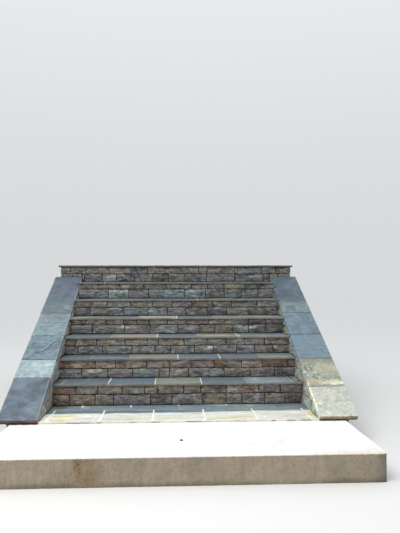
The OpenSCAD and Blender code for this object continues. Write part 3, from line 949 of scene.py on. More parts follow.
# light or dark along a tread: centre x, half width, gain
TREAD_GAIN = {1: [(0.42, 0.24, 0.92), (0.82, 0.16, 1.18)], 2: [(-0.92, 0.42, 0.80), (-0.24, 0.24, 0.93)],
              3: [(-0.95, 0.24, 0.86), (0.86, 0.34, 0.92)], 4: [(-0.22, 0.21, 1.08), (0.62, 0.23, 1.08), (-0.85, 0.35, 0.92)]}
TREAD_SPOTS = {
    1: [(-1.150, -0.77, 0.050, 0.120, (92, 88, 82), 0.8), (0.700, -0.60, 0.055, 0.070, (150, 162, 158), 0.6),
        (0.740, -0.665, 0.030, 0.028, (214, 214, 206), 0.9), (1.100, -0.640, 0.030, 0.160, (118, 108, 100), 0.6),
        (0.900, -0.820, 0.140, 0.030, (146, 142, 122), 0.5), (-0.500, -0.640, 0.150, 0.050, (124, 140, 152), 0.5),
        # from x 1.030 to 1.124 on tread 1 pale mortar streaks alternate with dark ones, which are painted shadow beside
        # them
        (-0.875, -0.600, 0.009, 0.050, (196, 200, 198), 0.8), (1.030, -0.680, 0.010, 0.160, (178, 184, 182), 0.7),
        (1.052, -0.680, 0.010, 0.160, (92, 98, 104), 0.7), (1.078, -0.670, 0.010, 0.160, (180, 184, 180), 0.7),
        (1.100, -0.680, 0.010, 0.160, (96, 98, 98), 0.7), (1.124, -0.680, 0.010, 0.150, (172, 170, 158), 0.7),
        (1.145, -0.790, 0.026, 0.075, (122, 92, 72), 1.0)],
    3: [(0.900, -0.230, 0.060, 0.020, (196, 200, 196), 0.7), (0.640, -0.180, 0.018, 0.080, (206, 206, 196), 0.8),
        (0.560, -0.240, 0.100, 0.040, (196, 194, 176), 0.5), (-0.240, -0.235, 0.030, 0.030, (200, 198, 186), 0.7),
        (1.080, -0.240, 0.100, 0.030, (150, 144, 122), 0.6), (-0.900, -0.235, 0.120, 0.020, (150, 154, 154), 0.5),
        (-0.440, -0.190, 0.200, 0.090, (186, 167, 142), 0.65), (0.390, -0.190, 0.180, 0.090, (190, 180, 150), 0.6)],
    4: [(-0.040, 0.080, 0.030, 0.040, (206, 206, 196), 0.8), (-0.450, 0.080, 0.050, 0.030, (176, 178, 166), 0.5),
        (1.040, 0.090, 0.100, 0.060, (134, 148, 134), 0.5),
        (-1.010, 0.110, 0.160, 0.090, (166, 176, 156), 0.6), (-0.220, 0.120, 0.190, 0.090, (192, 195, 180), 0.4)],
    2: [(1.000, -0.500, 0.200, 0.060, (156, 148, 122), 0.8), (0.950, -0.330, 0.200, 0.080, (134, 146, 142), 0.5),
        (-0.260, -0.500, 0.200, 0.050, (158, 152, 124), 0.6)],
}


def gains(items):
    def f(u, v, w, A, B):
        for x, a, g in items:
            k = (1 + (g - 1) * smooth(a * 1.15, a * 0.85, np.abs(u - x)))[:, None]
            A, B = A * k, B * k
        return A, B
    return f


for k, (js, kinds, faint) in TREADS.items():
    rg = np.random.default_rng(200 + k)
    bag = Bag()
    y0 = face(k) - NOSING
    edge = front_edge(y0, TOP[k], "X" if k in (2, 5, 6) else "W")
    flag_row(bag, js, -HW, HW, y0, y0 + NOSING + RUN + FACE_T, TOP[k], kinds.split(), rg,
             paint=both(spots(TREAD_SPOTS.get(k, []), 20 + k), gains(TREAD_GAIN.get(k, [])), edge), faint=faint,
             dense=(5, 6) if k == 1 else ())
    bag.make(f"tread_{k}_flags", SLATE, "tread_flagstone", [f"tread_{k}"])

# pale cream and yellow tones of the apron's front row, painted as in sunlight
APRON_SPOTS = [
    (-1.000, -1.300, 0.130, 0.085, (244, 238, 186), 0.85), (-0.800, -1.330, 0.160, 0.040, (226, 214, 204), 0.6),
    (-0.560, -1.300, 0.120, 0.050, (214, 217, 222), 0.6), (-0.420, -1.400, 0.130, 0.030, (224, 208, 190), 0.6),
    (-0.060, -1.240, 0.150, 0.040, (216, 220, 222), 0.5), (0.060, -1.360, 0.140, 0.030, (232, 222, 210), 0.5),
    (0.400, -1.390, 0.130, 0.026, (240, 218, 150), 0.75), (0.560, -1.340, 0.080, 0.030, (226, 200, 166), 0.6),
    (0.250, -1.420, 0.060, 0.018, (206, 178, 140), 0.5), (0.860, -1.240, 0.150, 0.040, (220, 224, 214), 0.5),
    (0.980, -1.330, 0.110, 0.040, (228, 218, 212), 0.6), (1.140, -1.250, 0.035, 0.060, (240, 214, 134), 0.8),
    (1.150, -1.360, 0.030, 0.050, (222, 196, 152), 0.6),
]


BACK_SPOTS = [
    (0.390, -0.860, 0.100, 0.016, (186, 192, 190), 0.6), (0.520, -0.900, 0.070, 0.014, (176, 184, 184), 0.5),
    (-0.300, -0.960, 0.150, 0.020, (88, 104, 122), 0.6), (0.660, -0.900, 0.030, 0.030, (196, 200, 196), 0.5),
    # the dark patch at x -1.08, by the left wall, is painted shadow
    (0.820, -0.780, 0.040, 0.016, (196, 200, 198), 0.6), (-1.080, -0.860, 0.090, 0.120, (84, 82, 84), 0.7),
    (-0.850, -0.980, 0.200, 0.030, (112, 112, 132), 0.5), (0.100, -0.940, 0.150, 0.030, (126, 142, 150), 0.5),
]


BACK_GAIN = np.array([1.47, 1.43, 1.35])


# where the lower front edge of the apron is painted brown: centre x, half width
BROWN_DASHES = [(-0.843, 0.105), (-0.668, 0.024), (-0.203, 0.034), (0.115, 0.070), (0.488, 0.018), (0.781, 0.018),
        (0.928, 0.038), (1.060, 0.045)]


def apron_tone(u, v, w, A, B):
    """The first few centimetres of the front row are painted as blue-grey as the back row, a painted shadow across the
    pale row; its lower front edge is brown.
    """
    n = fbm(np.stack([u * 5, v * 22, np.zeros(len(u))], 1), 3, 33)
    t = fbm(np.stack([u * 3.5 + 5, v * 15, np.zeros(len(u))], 1), 3, 36)
    g = np.array([1.02, 1.01, 0.98]) + t[:, None] * np.array([0.17, 0.18, 0.36])
    A, B = A * g, B * g
    # painted shadow: the rear of the front row turns blue-grey along a slanting edge
    k = smooth(-1.168, -1.146, v + 0.008 * n - 0.042 * smooth(0.0, 1.1, u))[:, None]
    blue = lin((112, 130, 139)) * GAIN_FLAG * (0.92 + 0.38 * smooth(-0.35, 0.35, u + 0.25 * n))[:, None]
    A, B = A * (1 - k) + blue * k, B * (1 - k) + blue * 0.9 * k
    m = fbm(np.stack([u * 7, np.zeros(len(u)), np.zeros(len(u))], 1), 3, 34)
    d = np.max([smooth(a * 1.15, a * 0.75, np.abs(u - x + 0.006 * n)) for x, a in BROWN_DASHES], 0)
    k = (smooth(-0.004, -0.008, w) * np.maximum(smooth(0.10, 0.50, m) * 0.6, d * 0.85) * smooth(-1.442, -1.449, v))[:, None]
    brown = lin((152, 143, 130)) * GAIN_FLAG
    return A * (1 - k) + brown * k, B * (1 - k) + brown * 0.8 * k


# the front row is painted pale, as the stone looks in sunlight
rg = np.random.default_rng(300)
bag = Bag()
flag_row(bag, [-1.108, -0.668, -0.228, 0.213, 0.655, 1.110], -HW, HW, -1.457, -1.034, TOP[0],
         "US QS SQ QS SU QS US".split(), rg, thick=0.015, amp=0.0016, wobble=0.0022, front=0.004,
         paint=both(spots(APRON_SPOTS, 31, 6, 26), apron_tone), smear=white)
bag.make("apron_front_flags", APRON, "apron_flagstone", ["apron_front_row"])
bag = Bag()
flag_row(bag, [-0.890, -0.444, -0.004, 0.442, 0.886], -HW, HW, -1.026, -0.730, TOP[0],
         "BG BL BV BG GB BG".split(), rg, thick=0.015,
         paint=both(spots(BACK_SPOTS, 35, 8, 20), lambda u, v, w, A, B: (A * BACK_GAIN, B * BACK_GAIN)), dashes={0: 0.42, 1: 0.40, 2: 0.62, 3: 0.55, 4: 0.80})
bag.make("apron_back_flags", SLATE, "apron_flagstone", ["apron_back_row"])

rows = [0.975, 1.335, 1.705, 2.055, 2.415]
land_js = [[-0.870, -0.290, 0.300, 0.880], [-1.120, -0.560, 0.020, 0.580, 1.130],
           [-0.860, -0.300, 0.290, 0.870], [-1.130, -0.570, 0.010, 0.590, 1.120]]
land_kinds = ["BG TG VB GT BL", "GB BV TC BG GL BT", "TG BG GB TY BV", "BV GT BG TG BL GB"]
for k in range(4):
    rg = np.random.default_rng(400 + k)
    bag = Bag()
    a = rows[k] + (0 if k == 0 else JOINT / 2)
    b = rows[k + 1] - (0 if k == 3 else JOINT / 2)
    flag_row(bag, land_js[k], -1.460, 1.460, a, b, TOP[7], land_kinds[k].split(), rg,
             paint=front_edge(a, TOP[7], "Z") if k == 0 else None, faint=range(5) if k == 0 else ())
    bag.make(f"landing_row_{k + 1}_flags", SLATE, "landing_flagstone", [f"landing_row_{k + 1}"])


def long_joint(y, z, thick, half, x0=None, bag=None):
    F = axes((0, 0, z), (1, 0, 0), (0, 1, 0), (0, 0, 1))
    rg = np.random.default_rng(int(1000 * (y + 5)))
    f = rough(rg, 0.0007, 45)
    block(bag or pale, F, -half if x0 is None else x0, half, y - 0.0062, y + 0.0062, rg,
          lambda x, y, e, w, h: f(x, y, e, w, h) - (0.0009 if bag is None else 0.0016),
          (lin((210, 208, 200)),) * 2, step=0.012, fine=(0,), r=0.002, wob=0.0010, depths=(thick - 0.004,))


# of the joint between the apron's two rows only a stretch left of the middle is pale
long_joint(-1.030, TOP[0], 0.015, -0.662, -HW + 0.004, mortar_grey)
long_joint(-1.030, TOP[0], 0.015, -0.190, -0.660)
long_joint(-1.030, TOP[0], 0.015, HW - 0.004, -0.188, mortar_grey)
for y in rows[1:4]:
    long_joint(y, TOP[7], TREAD_T, 1.456)
# ------------------------------------------------------------------ coping
LEFT_CUTS, RIGHT_CUTS = [0, 0.595, 0.890, 1.335, 1.805], [0, 0.420, 0.880, 1.335, 1.805]
COPE = axes((0, CAP_Y, CAP_Z), (1, 0, 0), (0, math.cos(CAP_A), math.sin(CAP_A)), (0, -math.sin(CAP_A), math.cos(CAP_A)))
CAPS = {
    "left_cap_1": ("NE", 0.0008, 0.0), "left_cap_2": ("HO", 0.0018, 0.0034),
    "left_cap_3": ("FE", 0.0018, 0.0030), "left_cap_4": ("IE", 0.0020, 0.0020), "left_cap_5": ("ED", 0.0012, 0.0006),
    "right_cap_1": ("AK", 0.0022, 0.0016), "right_cap_2": ("JJ", 0.0028, 0.0024),
    "right_cap_3": ("IN", 0.0008, 0.0), "right_cap_4": ("IE", 0.0008, 0.0),
    "right_cap_5": ("DE", 0.0014, 0.0006),
}
# light or dark, and the joint towards the next slab (mm each side)
CAP_GAIN = {"left_cap_1": 0.63, "left_cap_2": 1.08, "left_cap_3": 0.85, "left_cap_4": 0.87, "left_cap_5": 0.77,
            "right_cap_1": 1.13, "right_cap_2": 0.91, "right_cap_3": 0.88, "right_cap_4": 0.87, "right_cap_5": 0.86}
CAP_GAP = {"left_cap_1": 0.0016, "left_cap_2": 0.0034, "left_cap_3": 0.0024, "left_cap_4": 0.0016, "right_cap_1": 0.0020,
           "right_cap_2": 0.0020, "right_cap_3": 0.0036, "right_cap_4": 0.0030}
CAP_EDGE = (0.003, 0.009, 0.017, 0.026, 0.034, 0.041, 0.045)


def plumb(u, v, w):
    """The top slab's upper end is cut plumb, against the landing."""
    k = smooth(CAP_LEN - 0.12, CAP_LEN - 0.004, v)
    return u, v + k * w * SLOPE, w


def end_brown(side):
    rust = lin((118, 98, 78)) * 1.50 if side > 0 else lin((97, 73, 68)) * 1.10

    def f(u, v, w, A, B):
        n = fbm(np.stack([u * 16, v * 16, w * 30], 1), 2, 58)
        k = (smooth(0.004, -0.001, v) * smooth(-0.004, -0.009, w))[:, None]
        # the end face is brown, painted darker towards its bottom: painted shade under the slab, where it sits on the
        # concrete
        c = rust * (1 + 0.35 * n)[:, None] * (1 - 0.50 * smooth(-0.024, -0.042, w))[:, None]
        return A * (1 - k) + c * k, B * (1 - k) + c * 0.7 * k
    return f


def gold_band(u, v, w, A, B):
    """Pale ochre stain across the lower part of the slab, brightest at the right, and a greyer upper end."""
    q = np.stack([u * 11, v * 14, np.zeros(len(u))], 1)
    n = fbm(q, 3, 77)
    low = 0.020 * smooth(1.22, 1.40, u)
    k = (smooth(0.542, 0.500, v + low + 0.034 * n) * smooth(0.436, 0.462, v + 0.014 * n) * (0.85 + 0.6 * n))[:, None].clip(0, 1)
    right = smooth(1.24, 1.42, u)[:, None]
    gold = lin((208, 194, 156)) * (1 - right) + lin((250, 243, 208)) * right
    gold = gold * GAIN_FLAG
    A, B = A * (1 - k) + gold * k, B * (1 - k) + gold * 0.90 * k
    k = (smooth(0.446, 0.430, v + 0.008 * n) * 0.6)[:, None]
    tan = lin((190, 174, 155)) * GAIN_FLAG
    A, B = A * (1 - k) + tan * k, B * (1 - k) + tan * 0.9 * k
    k = (smooth(0.68, 0.80, v + 0.05 * n) * 0.65)[:, None]
    grey = lin((146, 145, 130)) * GAIN_FLAG
    A, B = A * (1 - k) + grey * k, B * (1 - k) + grey * 0.85 * k
    k = (smooth(0.14, 0.06, np.hypot((u - 1.40) / 1.3, v - 0.70) + 0.03 * n) * 0.7)[:, None]
    pale_ = lin((192, 186, 160)) * GAIN_FLAG
    return A * (1 - k) + pale_ * k, B * (1 - k) + pale_ * 0.9 * k


def two_part(u, v, w, A, B):
    """The top right slab is paler and rippled at its lower end."""
    q = np.stack([u * 9, v * 9, np.zeros(len(u))], 1)
    k = smooth(2.110, 2.010, v + 0.04 * fbm(q, 3, 78))[:, None]
    pale_ = lin((134, 149, 150)) * GAIN_FLAG
    return A * (1 - k) + pale_ * k, B * (1 - k) + pale_ * 0.84 * k


def ripples(u, v, w, A, B):
    """Pale diagonal ripples at the lower end and a dark cloud above it."""
    n = fbm(np.stack([u * 6, v * 6, np.zeros(len(u))], 1), 2, 81)
    a, b = 0.80 * u - 0.60 * v, 0.60 * u + 0.80 * v
    r = fbm(np.stack([a * 26 + 2.0 * n, b * 5, np.zeros(len(u))], 1), 2, 82)
    low = smooth(2.10, 2.00, v + 0.04 * n)
    g = 1 + r * (0.16 + 0.34 * low) - 0.22 * smooth(0.16, 0.06, np.hypot(u - 1.29, (v - 2.24) * 0.7) + 0.04 * n)
    return A * g[:, None], B * g[:, None]


def speckle(u, v, w, A, B):
    """A rough slab: khaki patches with pale and dark specks, strongest at its inner lower part."""
    n = fbm(np.stack([u * 11, v * 11, np.zeros(len(u))], 1), 3, 66)
    m = fbm(np.stack([u * 38, v * 26, np.zeros(len(u))], 1), 3, 67)
    k = (smooth(0.0, 0.5, n) * 0.6)[:, None]
    tan = lin((166, 160, 138)) * GAIN_FLAG
    A, B = A * (1 - k) + tan * k, B * (1 - k) + tan * 0.85 * k
    g = (0.97 + 0.20 * n + 0.12 * m)[:, None]
    A, B = A * g, B * g
    g = 0.22 + 0.78 * smooth(1.40, 1.24, u + 0.04 * n) * smooth(0.84, 0.72, v) * smooth(0.49, 0.56, v)
    for lo, hi, c, amount in ((0.12, 0.36, (212, 211, 196), 0.85), (-0.14, -0.42, (104, 110, 98), 0.70)):
        k = (smooth(lo, hi, m) * g * amount)[:, None]
        t = lin(c) * GAIN_FLAG
        A, B = A * (1 - k) + t * k, B * (1 - k) + t * 0.9 * k
    return A, B


def stroke(u, v, pts, r):
    """How near a point is to a line through pts: 1 on it, 0 from r on."""
    d = np.full(len(u), 9.0)
    for (a, b), (c, e) in zip(pts[:-1], pts[1:]):
        t = np.clip(((u - a) * (c - a) + (v - b) * (e - b)) / ((c - a) ** 2 + (e - b) ** 2), 0, 1)
        d = np.minimum(d, np.hypot(u - a - t * (c - a), v - b - t * (e - b)))
    return smooth(r, r * 0.35, d)


# scars in the bed of the left coping: points, half width, light or dark
SCARS = [
    ([(-1.375, 1.010), (-1.331, 1.030), (-1.289, 1.078), (-1.263, 1.154), (-1.238, 1.209), (-1.195, 1.222)], 0.012, -0.42),
    ([(-1.360, 1.050), (-1.318, 1.082), (-1.292, 1.140), (-1.268, 1.215), (-1.240, 1.245)], 0.013, 0.34),
    ([(-1.445, 1.180), (-1.385, 1.188), (-1.318, 1.204)], 0.010, -0.30), ([(-1.430, 1.205), (-1.350, 1.218)], 0.010, 0.20),
    ([(-1.300, 0.985), (-1.235, 1.030), (-1.200, 1.090)], 0.010, -0.24), ([(-1.290, 1.010), (-1.230, 1.055)], 0.010, 0.22),
    ([(-1.470, 1.600), (-1.380, 1.588), (-1.300, 1.606), (-1.200, 1.598)], 0.012, -0.22),
    ([(-1.380, 1.510), (-1.343, 1.528), (-1.300, 1.520)], 0.010, -0.20), ([(-1.450, 1.706), (-1.320, 1.700), (-1.230, 1.712)], 0.012, -0.16),
    ([(-1.290, 1.560), (-1.240, 1.610), (-1.215, 1.650)], 0.012, 0.18), ([(-1.230, 1.640), (-1.200, 1.690)], 0.012, 0.18),
]


def swirl(u, v, w, A, B):
    """Diagonal ripples, pale on their crests, and scars; towards its upper end the next slab turns khaki."""
    q = np.stack([u * 6, v * 6, np.zeros(len(u))], 1)
    n = fbm(q, 3, 61)
    a, b = 0.70 * u + 0.71 * v, -0.71 * u + 0.70 * v
    r = fbm(np.stack([a * 5, b * 22 + 2.6 * n, np.zeros(len(u))], 1), 3, 62)
    m = fbm(np.stack([u * 24, v * 24, np.zeros(len(u))], 1), 3, 69)
    mid = smooth(1.325, 1.340, v) * smooth(1.74, 1.62, v + 0.05 * n)
    up = smooth(1.62, 1.74, v + 0.05 * n)
    teal, khaki = lin((146, 160, 165)) * GAIN_FLAG, lin((140, 149, 150)) * GAIN_FLAG
    for c, k in ((teal, mid * 0.8), (khaki, up * 0.8)):
        k = k[:, None]
        A, B = A * (1 - k) + c * k, B * (1 - k) + c * 0.87 * k
    g = 1 + 0.26 * r + 0.16 * m
    for pts, half, amount in SCARS:
        if abs(pts[0][1] - v.mean()) < 0.5:
            g = g + amount * stroke(u + 0.004 * n, v + 0.004 * n, pts, half)
    g = g[:, None]
    return A * g, B * g


def fade(u, v, w, A, B):
    """Smooth and dark at the top, paler and mottled towards the slab below."""
    n = fbm(np.stack([u * 8, v * 8, np.zeros(len(u))], 1), 3, 63)
    k = (smooth(2.12, 1.92, v + 0.07 * n) * (0.75 + 0.5 * n)).clip(0, 1)[:, None]
    pale_ = lin((126, 138, 142)) * GAIN_FLAG
    A, B = A * (1 - k) + pale_ * k, B * (1 - k) + pale_ * 0.86 * k
    k = (smooth(0.060, 0.02, np.hypot(u + 1.235, (v - 1.95) * 0.8) + 0.03 * n) * 0.65)[:, None]
    c = lin((166, 178, 181)) * GAIN_FLAG
    A, B = A * (1 - k) + c * k, B * (1 - k) + c * 0.86 * k
    k = (smooth(0.30, 0.10, np.hypot(u + 1.34, (v - 2.36) * 0.8) + 0.05 * n) * 0.35)[:, None]
    c = lin((122, 120, 134)) * GAIN_FLAG
    return A * (1 - k) + c * k, B * (1 - k) + c * 0.86 * k


def cream(u, v, w, A, B):
    """Cream, pinkish and greenish clouds on the lowest right slab, a pale stone painted paler still as in sunlight."""
    n = fbm(np.stack([u * 7, v * 9, np.zeros(len(u))], 1), 3, 64)
    m = fbm(np.stack([u * 5 + 7, v * 12, np.zeros(len(u))], 1), 3, 65)
    k = (smooth(0.10, 0.55, n) * 0.65)[:, None]
    cr = lin((210, 203, 182)) * GAIN_FLAG
    A, B = A * (1 - k) + cr * k, B * (1 - k) + cr * 0.92 * k
    k = (smooth(0.12, 0.5, m) * 0.6)[:, None]
    pk = lin((200, 186, 180)) * GAIN_FLAG
    A, B = A * (1 - k) + pk * k, B * (1 - k) + pk * 0.92 * k
    k = (smooth(-0.15, -0.5, m) * 0.4)[:, None]
    gr = lin((178, 186, 174)) * GAIN_FLAG
    A, B = A * (1 - k) + gr * k, B * (1 - k) + gr * 0.92 * k
    t = np.abs(fbm(np.stack([u * 5 + 2, v * 8, np.zeros(len(u))], 1), 2, 83))
    g = 1 + 0.20 * smooth(0.075, 0.02, t) * smooth(-0.1, 0.2, n) - 0.14 * smooth(0.10, 0.14, t) * smooth(0.22, 0.16, t) + 0.10 * fbm(
        np.stack([u * 36, v * 36, np.zeros(len(u))], 1), 2, 84)
    return A * g[:, None], B * g[:, None]


def arrises(u, v, w, A, B, side, x0):
    """Pale arrises along both sides, a painted highlight on the edges; at the foot on the right the inner one is cream
    and wide, a painted highlight too.
    """
    n = fbm(np.stack([v * 9, np.full(len(u), 1.7 * side), np.zeros(len(u))], 1), 3, 59)
    inner, outer = (u - x0, x0 + 0.330 - u) if side > 0 else (x0 + 0.330 - u, u - x0)
    a, b = (0.0, 0.50) if side > 0 else (0.48, 0.85)
    k = smooth(0.0085, 0.0030, outer) * b + smooth(0.0085, 0.0030, inner) * a
    k = (k * smooth(-0.014, -0.006, w) * (0.70 + 0.6 * n)).clip(0, 1)[:, None]
    c = lin((186, 178, 170) if side < 0 else (178, 180, 172)) * GAIN_FLAG
    A, B = A * (1 - k) + c * k, B * (1 - k) + c * 0.92 * k
    if side > 0:
        wide = 0.006 + 0.012 * smooth(0.40, 0.16, v) * (0.7 + 0.8 * n)
        k = smooth(wide, wide * 0.5, u - x0 + 0.004 * n) * smooth(0.53, 0.46, v) * smooth(0.05, 0.13, v)
        k = (k * smooth(-0.020, -0.008, w) * (0.85 + 0.5 * n)).clip(0, 1)[:, None]
        c = lin((250, 244, 224)) * 0.93
        A, B = A * (1 - k) + c * k, B * (1 - k) + c * 0.96 * k
    return A, B


for side, cuts in ((-1, LEFT_CUTS), (1, RIGHT_CUTS)):
    name = "left" if side < 0 else "right"
    cuts = cuts + [CAP_LEN]
    x0 = HW if side > 0 else -HW - 0.330
    for i, (a, b) in enumerate(zip(cuts[:-1], cuts[1:])):
        node = f"{name}_cap_{i + 1}"
        rg = np.random.default_rng(500 + i + 10 * side)
        code, amp, rip = CAPS[node]
        last = i == len(cuts) - 2
        v0 = a + (0 if i == 0 else CAP_GAP[f"{name}_cap_{i}"])
        v1 = b - (0 if last else CAP_GAP[node])
        brown = end_brown(side)

        def paint(u, v, w, A, B, i=i, node=node, brown=brown, side=side, x0=x0, v0=v0):
            if node == "right_cap_2":
                A, B = gold_band(u, v, w, *speckle(u, v, w, A, B))
            if node == "right_cap_5":
                A, B = two_part(u, v, w, A, B)
            if node in ("left_cap_2", "left_cap_3", "left_cap_4"):
                A, B = swirl(u, v, w, A, B)
            if node == "left_cap_5":
                A, B = fade(u, v, w, A, B)
            if node == "right_cap_1":
                A, B = cream(u, v, w, A, B)
            if node == "left_cap_1":
                t = fbm(np.stack([u * 7, v * 7, np.zeros(len(u))], 1), 4, 71)[:, None] * 1.5
                A, B = A * (1 + 0.30 * t), B * (1 + 0.30 * t)
            if node == "right_cap_5":
                A, B = ripples(u, v, w, A, B)
            g = CAP_GAIN[node]
            A, B = arrises(u, v, w, A * g, B * g, side, x0)
            if i == 0:
                return brown(u, v, w, A, B)
            # the lower end face of each slab above the first is painted dark: painted shadow in the joint
            k = 1 - 0.78 * (smooth(v0 + 0.0035, v0 + 0.0010, v) * smooth(-0.0005, -0.0025, w))[:, None]
            return A * k, B * k
        bag = Bag()
        block(bag, COPE, x0, x0 + 0.330, v0, v1, rg,
              cleft(rg, amp, rg.uniform(3.0, 4.5), ripple=rip, rdir=0.5 if side < 0 else -0.5, edge=0.006, drop=0.003),
              flag_tones(code), step=0.0068, fine=(0, 0.002, 0.005), r=0.005, wob=0.0022, depths=CAP_EDGE, side=0.0024,
              bulge=0.001, rim=0.007, warp=plumb if last else None, paint=paint)
        bag.make(f"{node}_slab", COPING, "cap_flagstone", [node])
# a dark mortar fillet in front of the foot of each lowest slab: painted shadow under the slab
for x0, x1 in ((-1.398, -HW - 0.004), (HW + 0.004, 1.398)):
    f = rough(np.random.default_rng(901), 0.002, 40)
    G = axes((0, 0, 0.200), (1, 0, 0), (0, 1, 0), (0, 0, 1))
    bed = Bag() if x0 < -1.39 else bed
    block(bed, G, x0, x1, -1.476, -1.452, np.random.default_rng(902), lambda x, y, e, w, h: 0.004 + f(x, y, e, w, h) + 0.004 * smooth(
        0.2, 1.0, y / h), (lin((60, 54, 46)),) * 2, step=0.008, fine=(0, 0.002), r=0.004, wob=0.005, depths=(0.010,))
bed.make("coping_foot_painted_shadow", DARK, "mortar_block")
pale.make("pale_mortar", PALE, "mortar_block")
white.make("white_mortar", WHITE, "mortar_block")
mortar_grey.make("grey_mortar", GREY, "mortar_block")

# ------------------------------------------------------------------ concrete step
# the top is painted near white, as the concrete looks in sunlight, and the front face tan, as in shade: painted light
# and shade
sunlit_top_tone, shaded_face_tone = np.array([0.93, 0.925, 0.90]), lin((156, 144, 126))


def concrete_relief(x, y, e, w, h):
    r = 0.012
    t = np.clip((r - e) / r, 0, 1)
    z = -(r - r * np.sqrt(np.maximum(1 - t ** 2, 0)))
    q = np.stack([x * 2.4, y * 2.4, np.zeros(len(x))], 1)
    z = z + 0.0012 * fbm(q, 3, 3) * (e > 0.02)
    q = np.stack([x * 26, y * 26, np.zeros(len(x))], 1)
    chip = smooth(0.35, 0.8, fbm(q, 2, 8)) * (e < 0.016)
    return z - 0.004 * chip


def concrete_paint(u, v, w, A, B):
    q = np.stack([u * 3, v * 3, w * 3], 1)
    n = fbm(q, 3, 21)
    side = smooth(-0.004, -0.011, w)[:, None]
    f = np.tile(shaded_face_tone, (len(u), 1))
    # brown stain left of the middle: a haze, darkest at its left edge under the top
    m = fbm(np.stack([u * 24, v * 24, w * 24], 1), 3, 22)
    haze = np.exp(-((u + 0.632) / 0.082) ** 2) * (0.85 + 0.5 * n) * smooth(-0.215, -0.145, w)
    core = np.exp(-((u + 0.695) / 0.026) ** 2) * (0.85 + 0.8 * m) * smooth(-0.185, -0.09, w)
    st = (0.66 * haze + 0.55 * core).clip(0, 1.2)[:, None]
    dots = (0.35 * haze + 0.80 * core).clip(0, 1)[:, None]
    f = f * (1 - 0.50 * st * np.array([0.74, 1.0, 1.34]))
    # sandy blotches and a broken brownish line just under the arris
    f = f * (1 + 0.09 * m[:, None] + 0.07 * n[:, None])
    ln = (smooth(-0.026, -0.018, w) * smooth(-0.004, -0.009, w) * smooth(-0.20, 0.25, m + 0.4 * n))[:, None]
    f = f * (1 - 0.24 * ln * np.array([0.35, 1.0, 1.15]))
    # the right end is painted darker and bluer: painted shade on the rounded corner
    f = f * (1 - 0.36 * smooth(1.27, 1.402, u + 0.03 * n)[:, None] * np.array([1.12, 1.0, 0.72]))
    foot = smooth(-0.155, -0.198, w + 0.02 * n)[:, None]
    f = f * (1 - 0.42 * foot)
    lip = (smooth(-0.030, -0.008, w) * (0.4 + 0.9 * n)).clip(0, 1)[:, None]
    f = f * (1 + 0.16 * lip)
    a = np.tile(sunlit_top_tone, (len(u), 1)) * (1 + 0.02 * n[:, None])
    a = a * (1 - 0.14 * (smooth(-2.345, -2.400, v + 0.01 * n) * smooth(0.6, 1.2, u))[:, None] * np.array([0.7, 1.0, 1.9]))
    A = a * (1 - side) + f * side
    B = A * (1 - (0.02 + (0.14 + 0.50 * dots) * side) * np.array([1.0, 1.05, 1.12]))
    return A, B


bag = Bag()
xs_fine = (0, 0.0015, 0.004, 0.008, 0.013)
block(bag, axes((0, 0, 0.200), (1, 0, 0), (0, 1, 0), (0, 0, 1)), -1.400, 1.400, -2.415, -1.450,
      np.random.default_rng(77), concrete_relief, (sunlit_top_tone, sunlit_top_tone * 0.9), step=0.018, fine=xs_fine, r=0.034, wob=0.0018,
      depths=tuple(np.round(np.concatenate([[0.004], np.linspace(0.014, 0.196, 13), [0.200]]), 4)), side=0.0012,
      paint=concrete_paint)
# the last ring is level with the ground
step_obj = bag.make("concrete_step_cast", CONCRETE, "concrete", ["concrete_step"], angle=50)
me = step_obj.data
co = np.empty(len(me.vertices) * 3, np.float32)
me.vertices.foreach_get("co", co)
co = co.reshape(-1, 3)
co[:, 2] = np.maximum(co[:, 2], 0.0)
me.vertices.foreach_set("co", co.ravel())
me.update()

# a small plug set in the top of the step
bag = Bag()
block(bag, axes((0.0005, -2.024, 0.200), (1, 0, 0), (0, 1, 0), (0, 0, 1)), -0.012, 0.012, -0.012, 0.012,
      np.random.default_rng(78), lambda x, y, e, w, h: 0.0070 - 0.0020 * np.clip(1 - e / 0.003, 0, 1) - 0.0016 * smooth(
          0.005, 0.002, np.hypot(x - w / 2, y - h / 2)), (lin((92, 100, 96)),) * 2, step=0.003, fine=(0, 0.0012), r=0.012,
      wob=0.0004, depths=(0.012,))
bag.make("step_plug", DARK, "mortar_block")

# ------------------------------------------------------------------ what stays of the CAD
for n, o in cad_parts.items():
    if n.startswith("core_course"):
        o.data.materials.clear()
        o.data.materials.append(BLOCK)
    if n == "apron_base":
        o.data.materials.clear()
        o.data.materials.append(BASE)

# ------------------------------------------------------------------ floor, light, camera
me = bpy.data.meshes.new("floor")
me.from_pydata([(-40, -40, 0), (40, -40, 0), (40, 40, 0), (-40, 40, 0)], [], [(0, 1, 2, 3)])
floor = bpy.data.objects.new("floor", me)
bpy.context.scene.collection.objects.link(floor)
fm = Mat("floor")
fm.done((0.80, 0.795, 0.78, 1), 0.9, 0.0)
me.materials.append(fm.m)
floor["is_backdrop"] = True

world = bpy.data.worlds.new("studio")
bpy.context.scene.world = world
world.use_nodes = True
wt = world.node_tree
bg = wt.nodes["Background"]
tc = wt.nodes.new("ShaderNodeTexCoord")
sep = wt.nodes.new("ShaderNodeSeparateXYZ")
wt.links.new(tc.outputs["Generated"], sep.inputs[0])
mr = wt.nodes.new("ShaderNodeMapRange")
mr.interpolation_type = "SMOOTHSTEP"
for key, val in (("From Min", 0.0), ("From Max", 0.75), ("To Min", 0.0), ("To Max", 1.0)):
    mr.inputs[key].default_value = val
wt.links.new(sep.outputs[2], mr.inputs["Value"])
mx = wt.nodes.new("ShaderNodeMix")
mx.data_type = "RGBA"
mx.inputs[6].default_value = (0.715, 0.732, 0.742, 1)
mx.inputs[7].default_value = (0.92, 0.96, 1.0, 1)
wt.links.new(mr.outputs["Result"], mx.inputs[0])
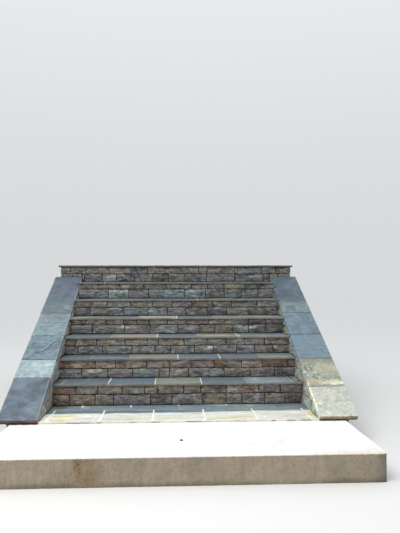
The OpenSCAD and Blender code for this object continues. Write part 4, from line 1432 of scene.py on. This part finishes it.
wt.links.new(mx.outputs[2], bg.inputs[0])
bg.inputs[1].default_value = 0.95


def area(name, at, to, size, power, colour=(1, 1, 1)):
    d = bpy.data.lights.new(name, "AREA")
    d.shape = "DISK"
    d.size = size
    d.energy = power
    d.color = colour
    o = bpy.data.objects.new(name, d)
    bpy.context.scene.collection.objects.link(o)
    a, b = np.array(at, float), np.array(to, float)
    z = (a - b) / np.linalg.norm(a - b)
    x = np.cross((0, 1, 0), z)
    x /= np.linalg.norm(x)
    y = np.cross(z, x)
    o.matrix_world = Matrix(((x[0], y[0], z[0], a[0]), (x[1], y[1], z[1], a[1]), (x[2], y[2], z[2], a[2]), (0, 0, 0, 1)))


area("key", (-2.5, -4.5, 6.5), (0, -0.3, 0.5), 4.5, 260, (1.0, 0.97, 0.92))

scene = bpy.context.scene
scene.view_settings.view_transform = "Standard"
scene.view_settings.look = "None"
scene.view_settings.exposure = 0.0

cam = bpy.data.cameras.new("camera")
cam.sensor_width = 36.0
cam.sensor_fit = "AUTO"
cam.lens = 590 * 36 / 533
cam_o = bpy.data.objects.new("camera", cam)
scene.collection.objects.link(cam_o)
a, b, g = (math.radians(t) for t in (-2.91, 1.60, 0.09))
Rz = np.array([[math.cos(a), -math.sin(a), 0], [math.sin(a), math.cos(a), 0], [0, 0, 1]])
Rx = np.array([[1, 0, 0], [0, math.cos(b), -math.sin(b)], [0, math.sin(b), math.cos(b)]])
Ry = np.array([[math.cos(g), 0, math.sin(g)], [0, 1, 0], [-math.sin(g), 0, math.cos(g)]])
R = Rz @ Rx @ Ry
C = (-0.083, -6.397, 1.357)
cam_o.matrix_world = Matrix([[R[i, 0], R[i, 2], -R[i, 1], C[i]] for i in range(3)] + [[0, 0, 0, 1]])
scene.camera = cam_o

bpy.context.view_layer.update()
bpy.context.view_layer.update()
total = {o.name: sum(len(p.vertices) - 2 for p in o.data.polygons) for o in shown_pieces() if o.type == "MESH"}
print("triangles", sum(total.values()), "largest", max(total.items(), key=lambda t: t[1]))
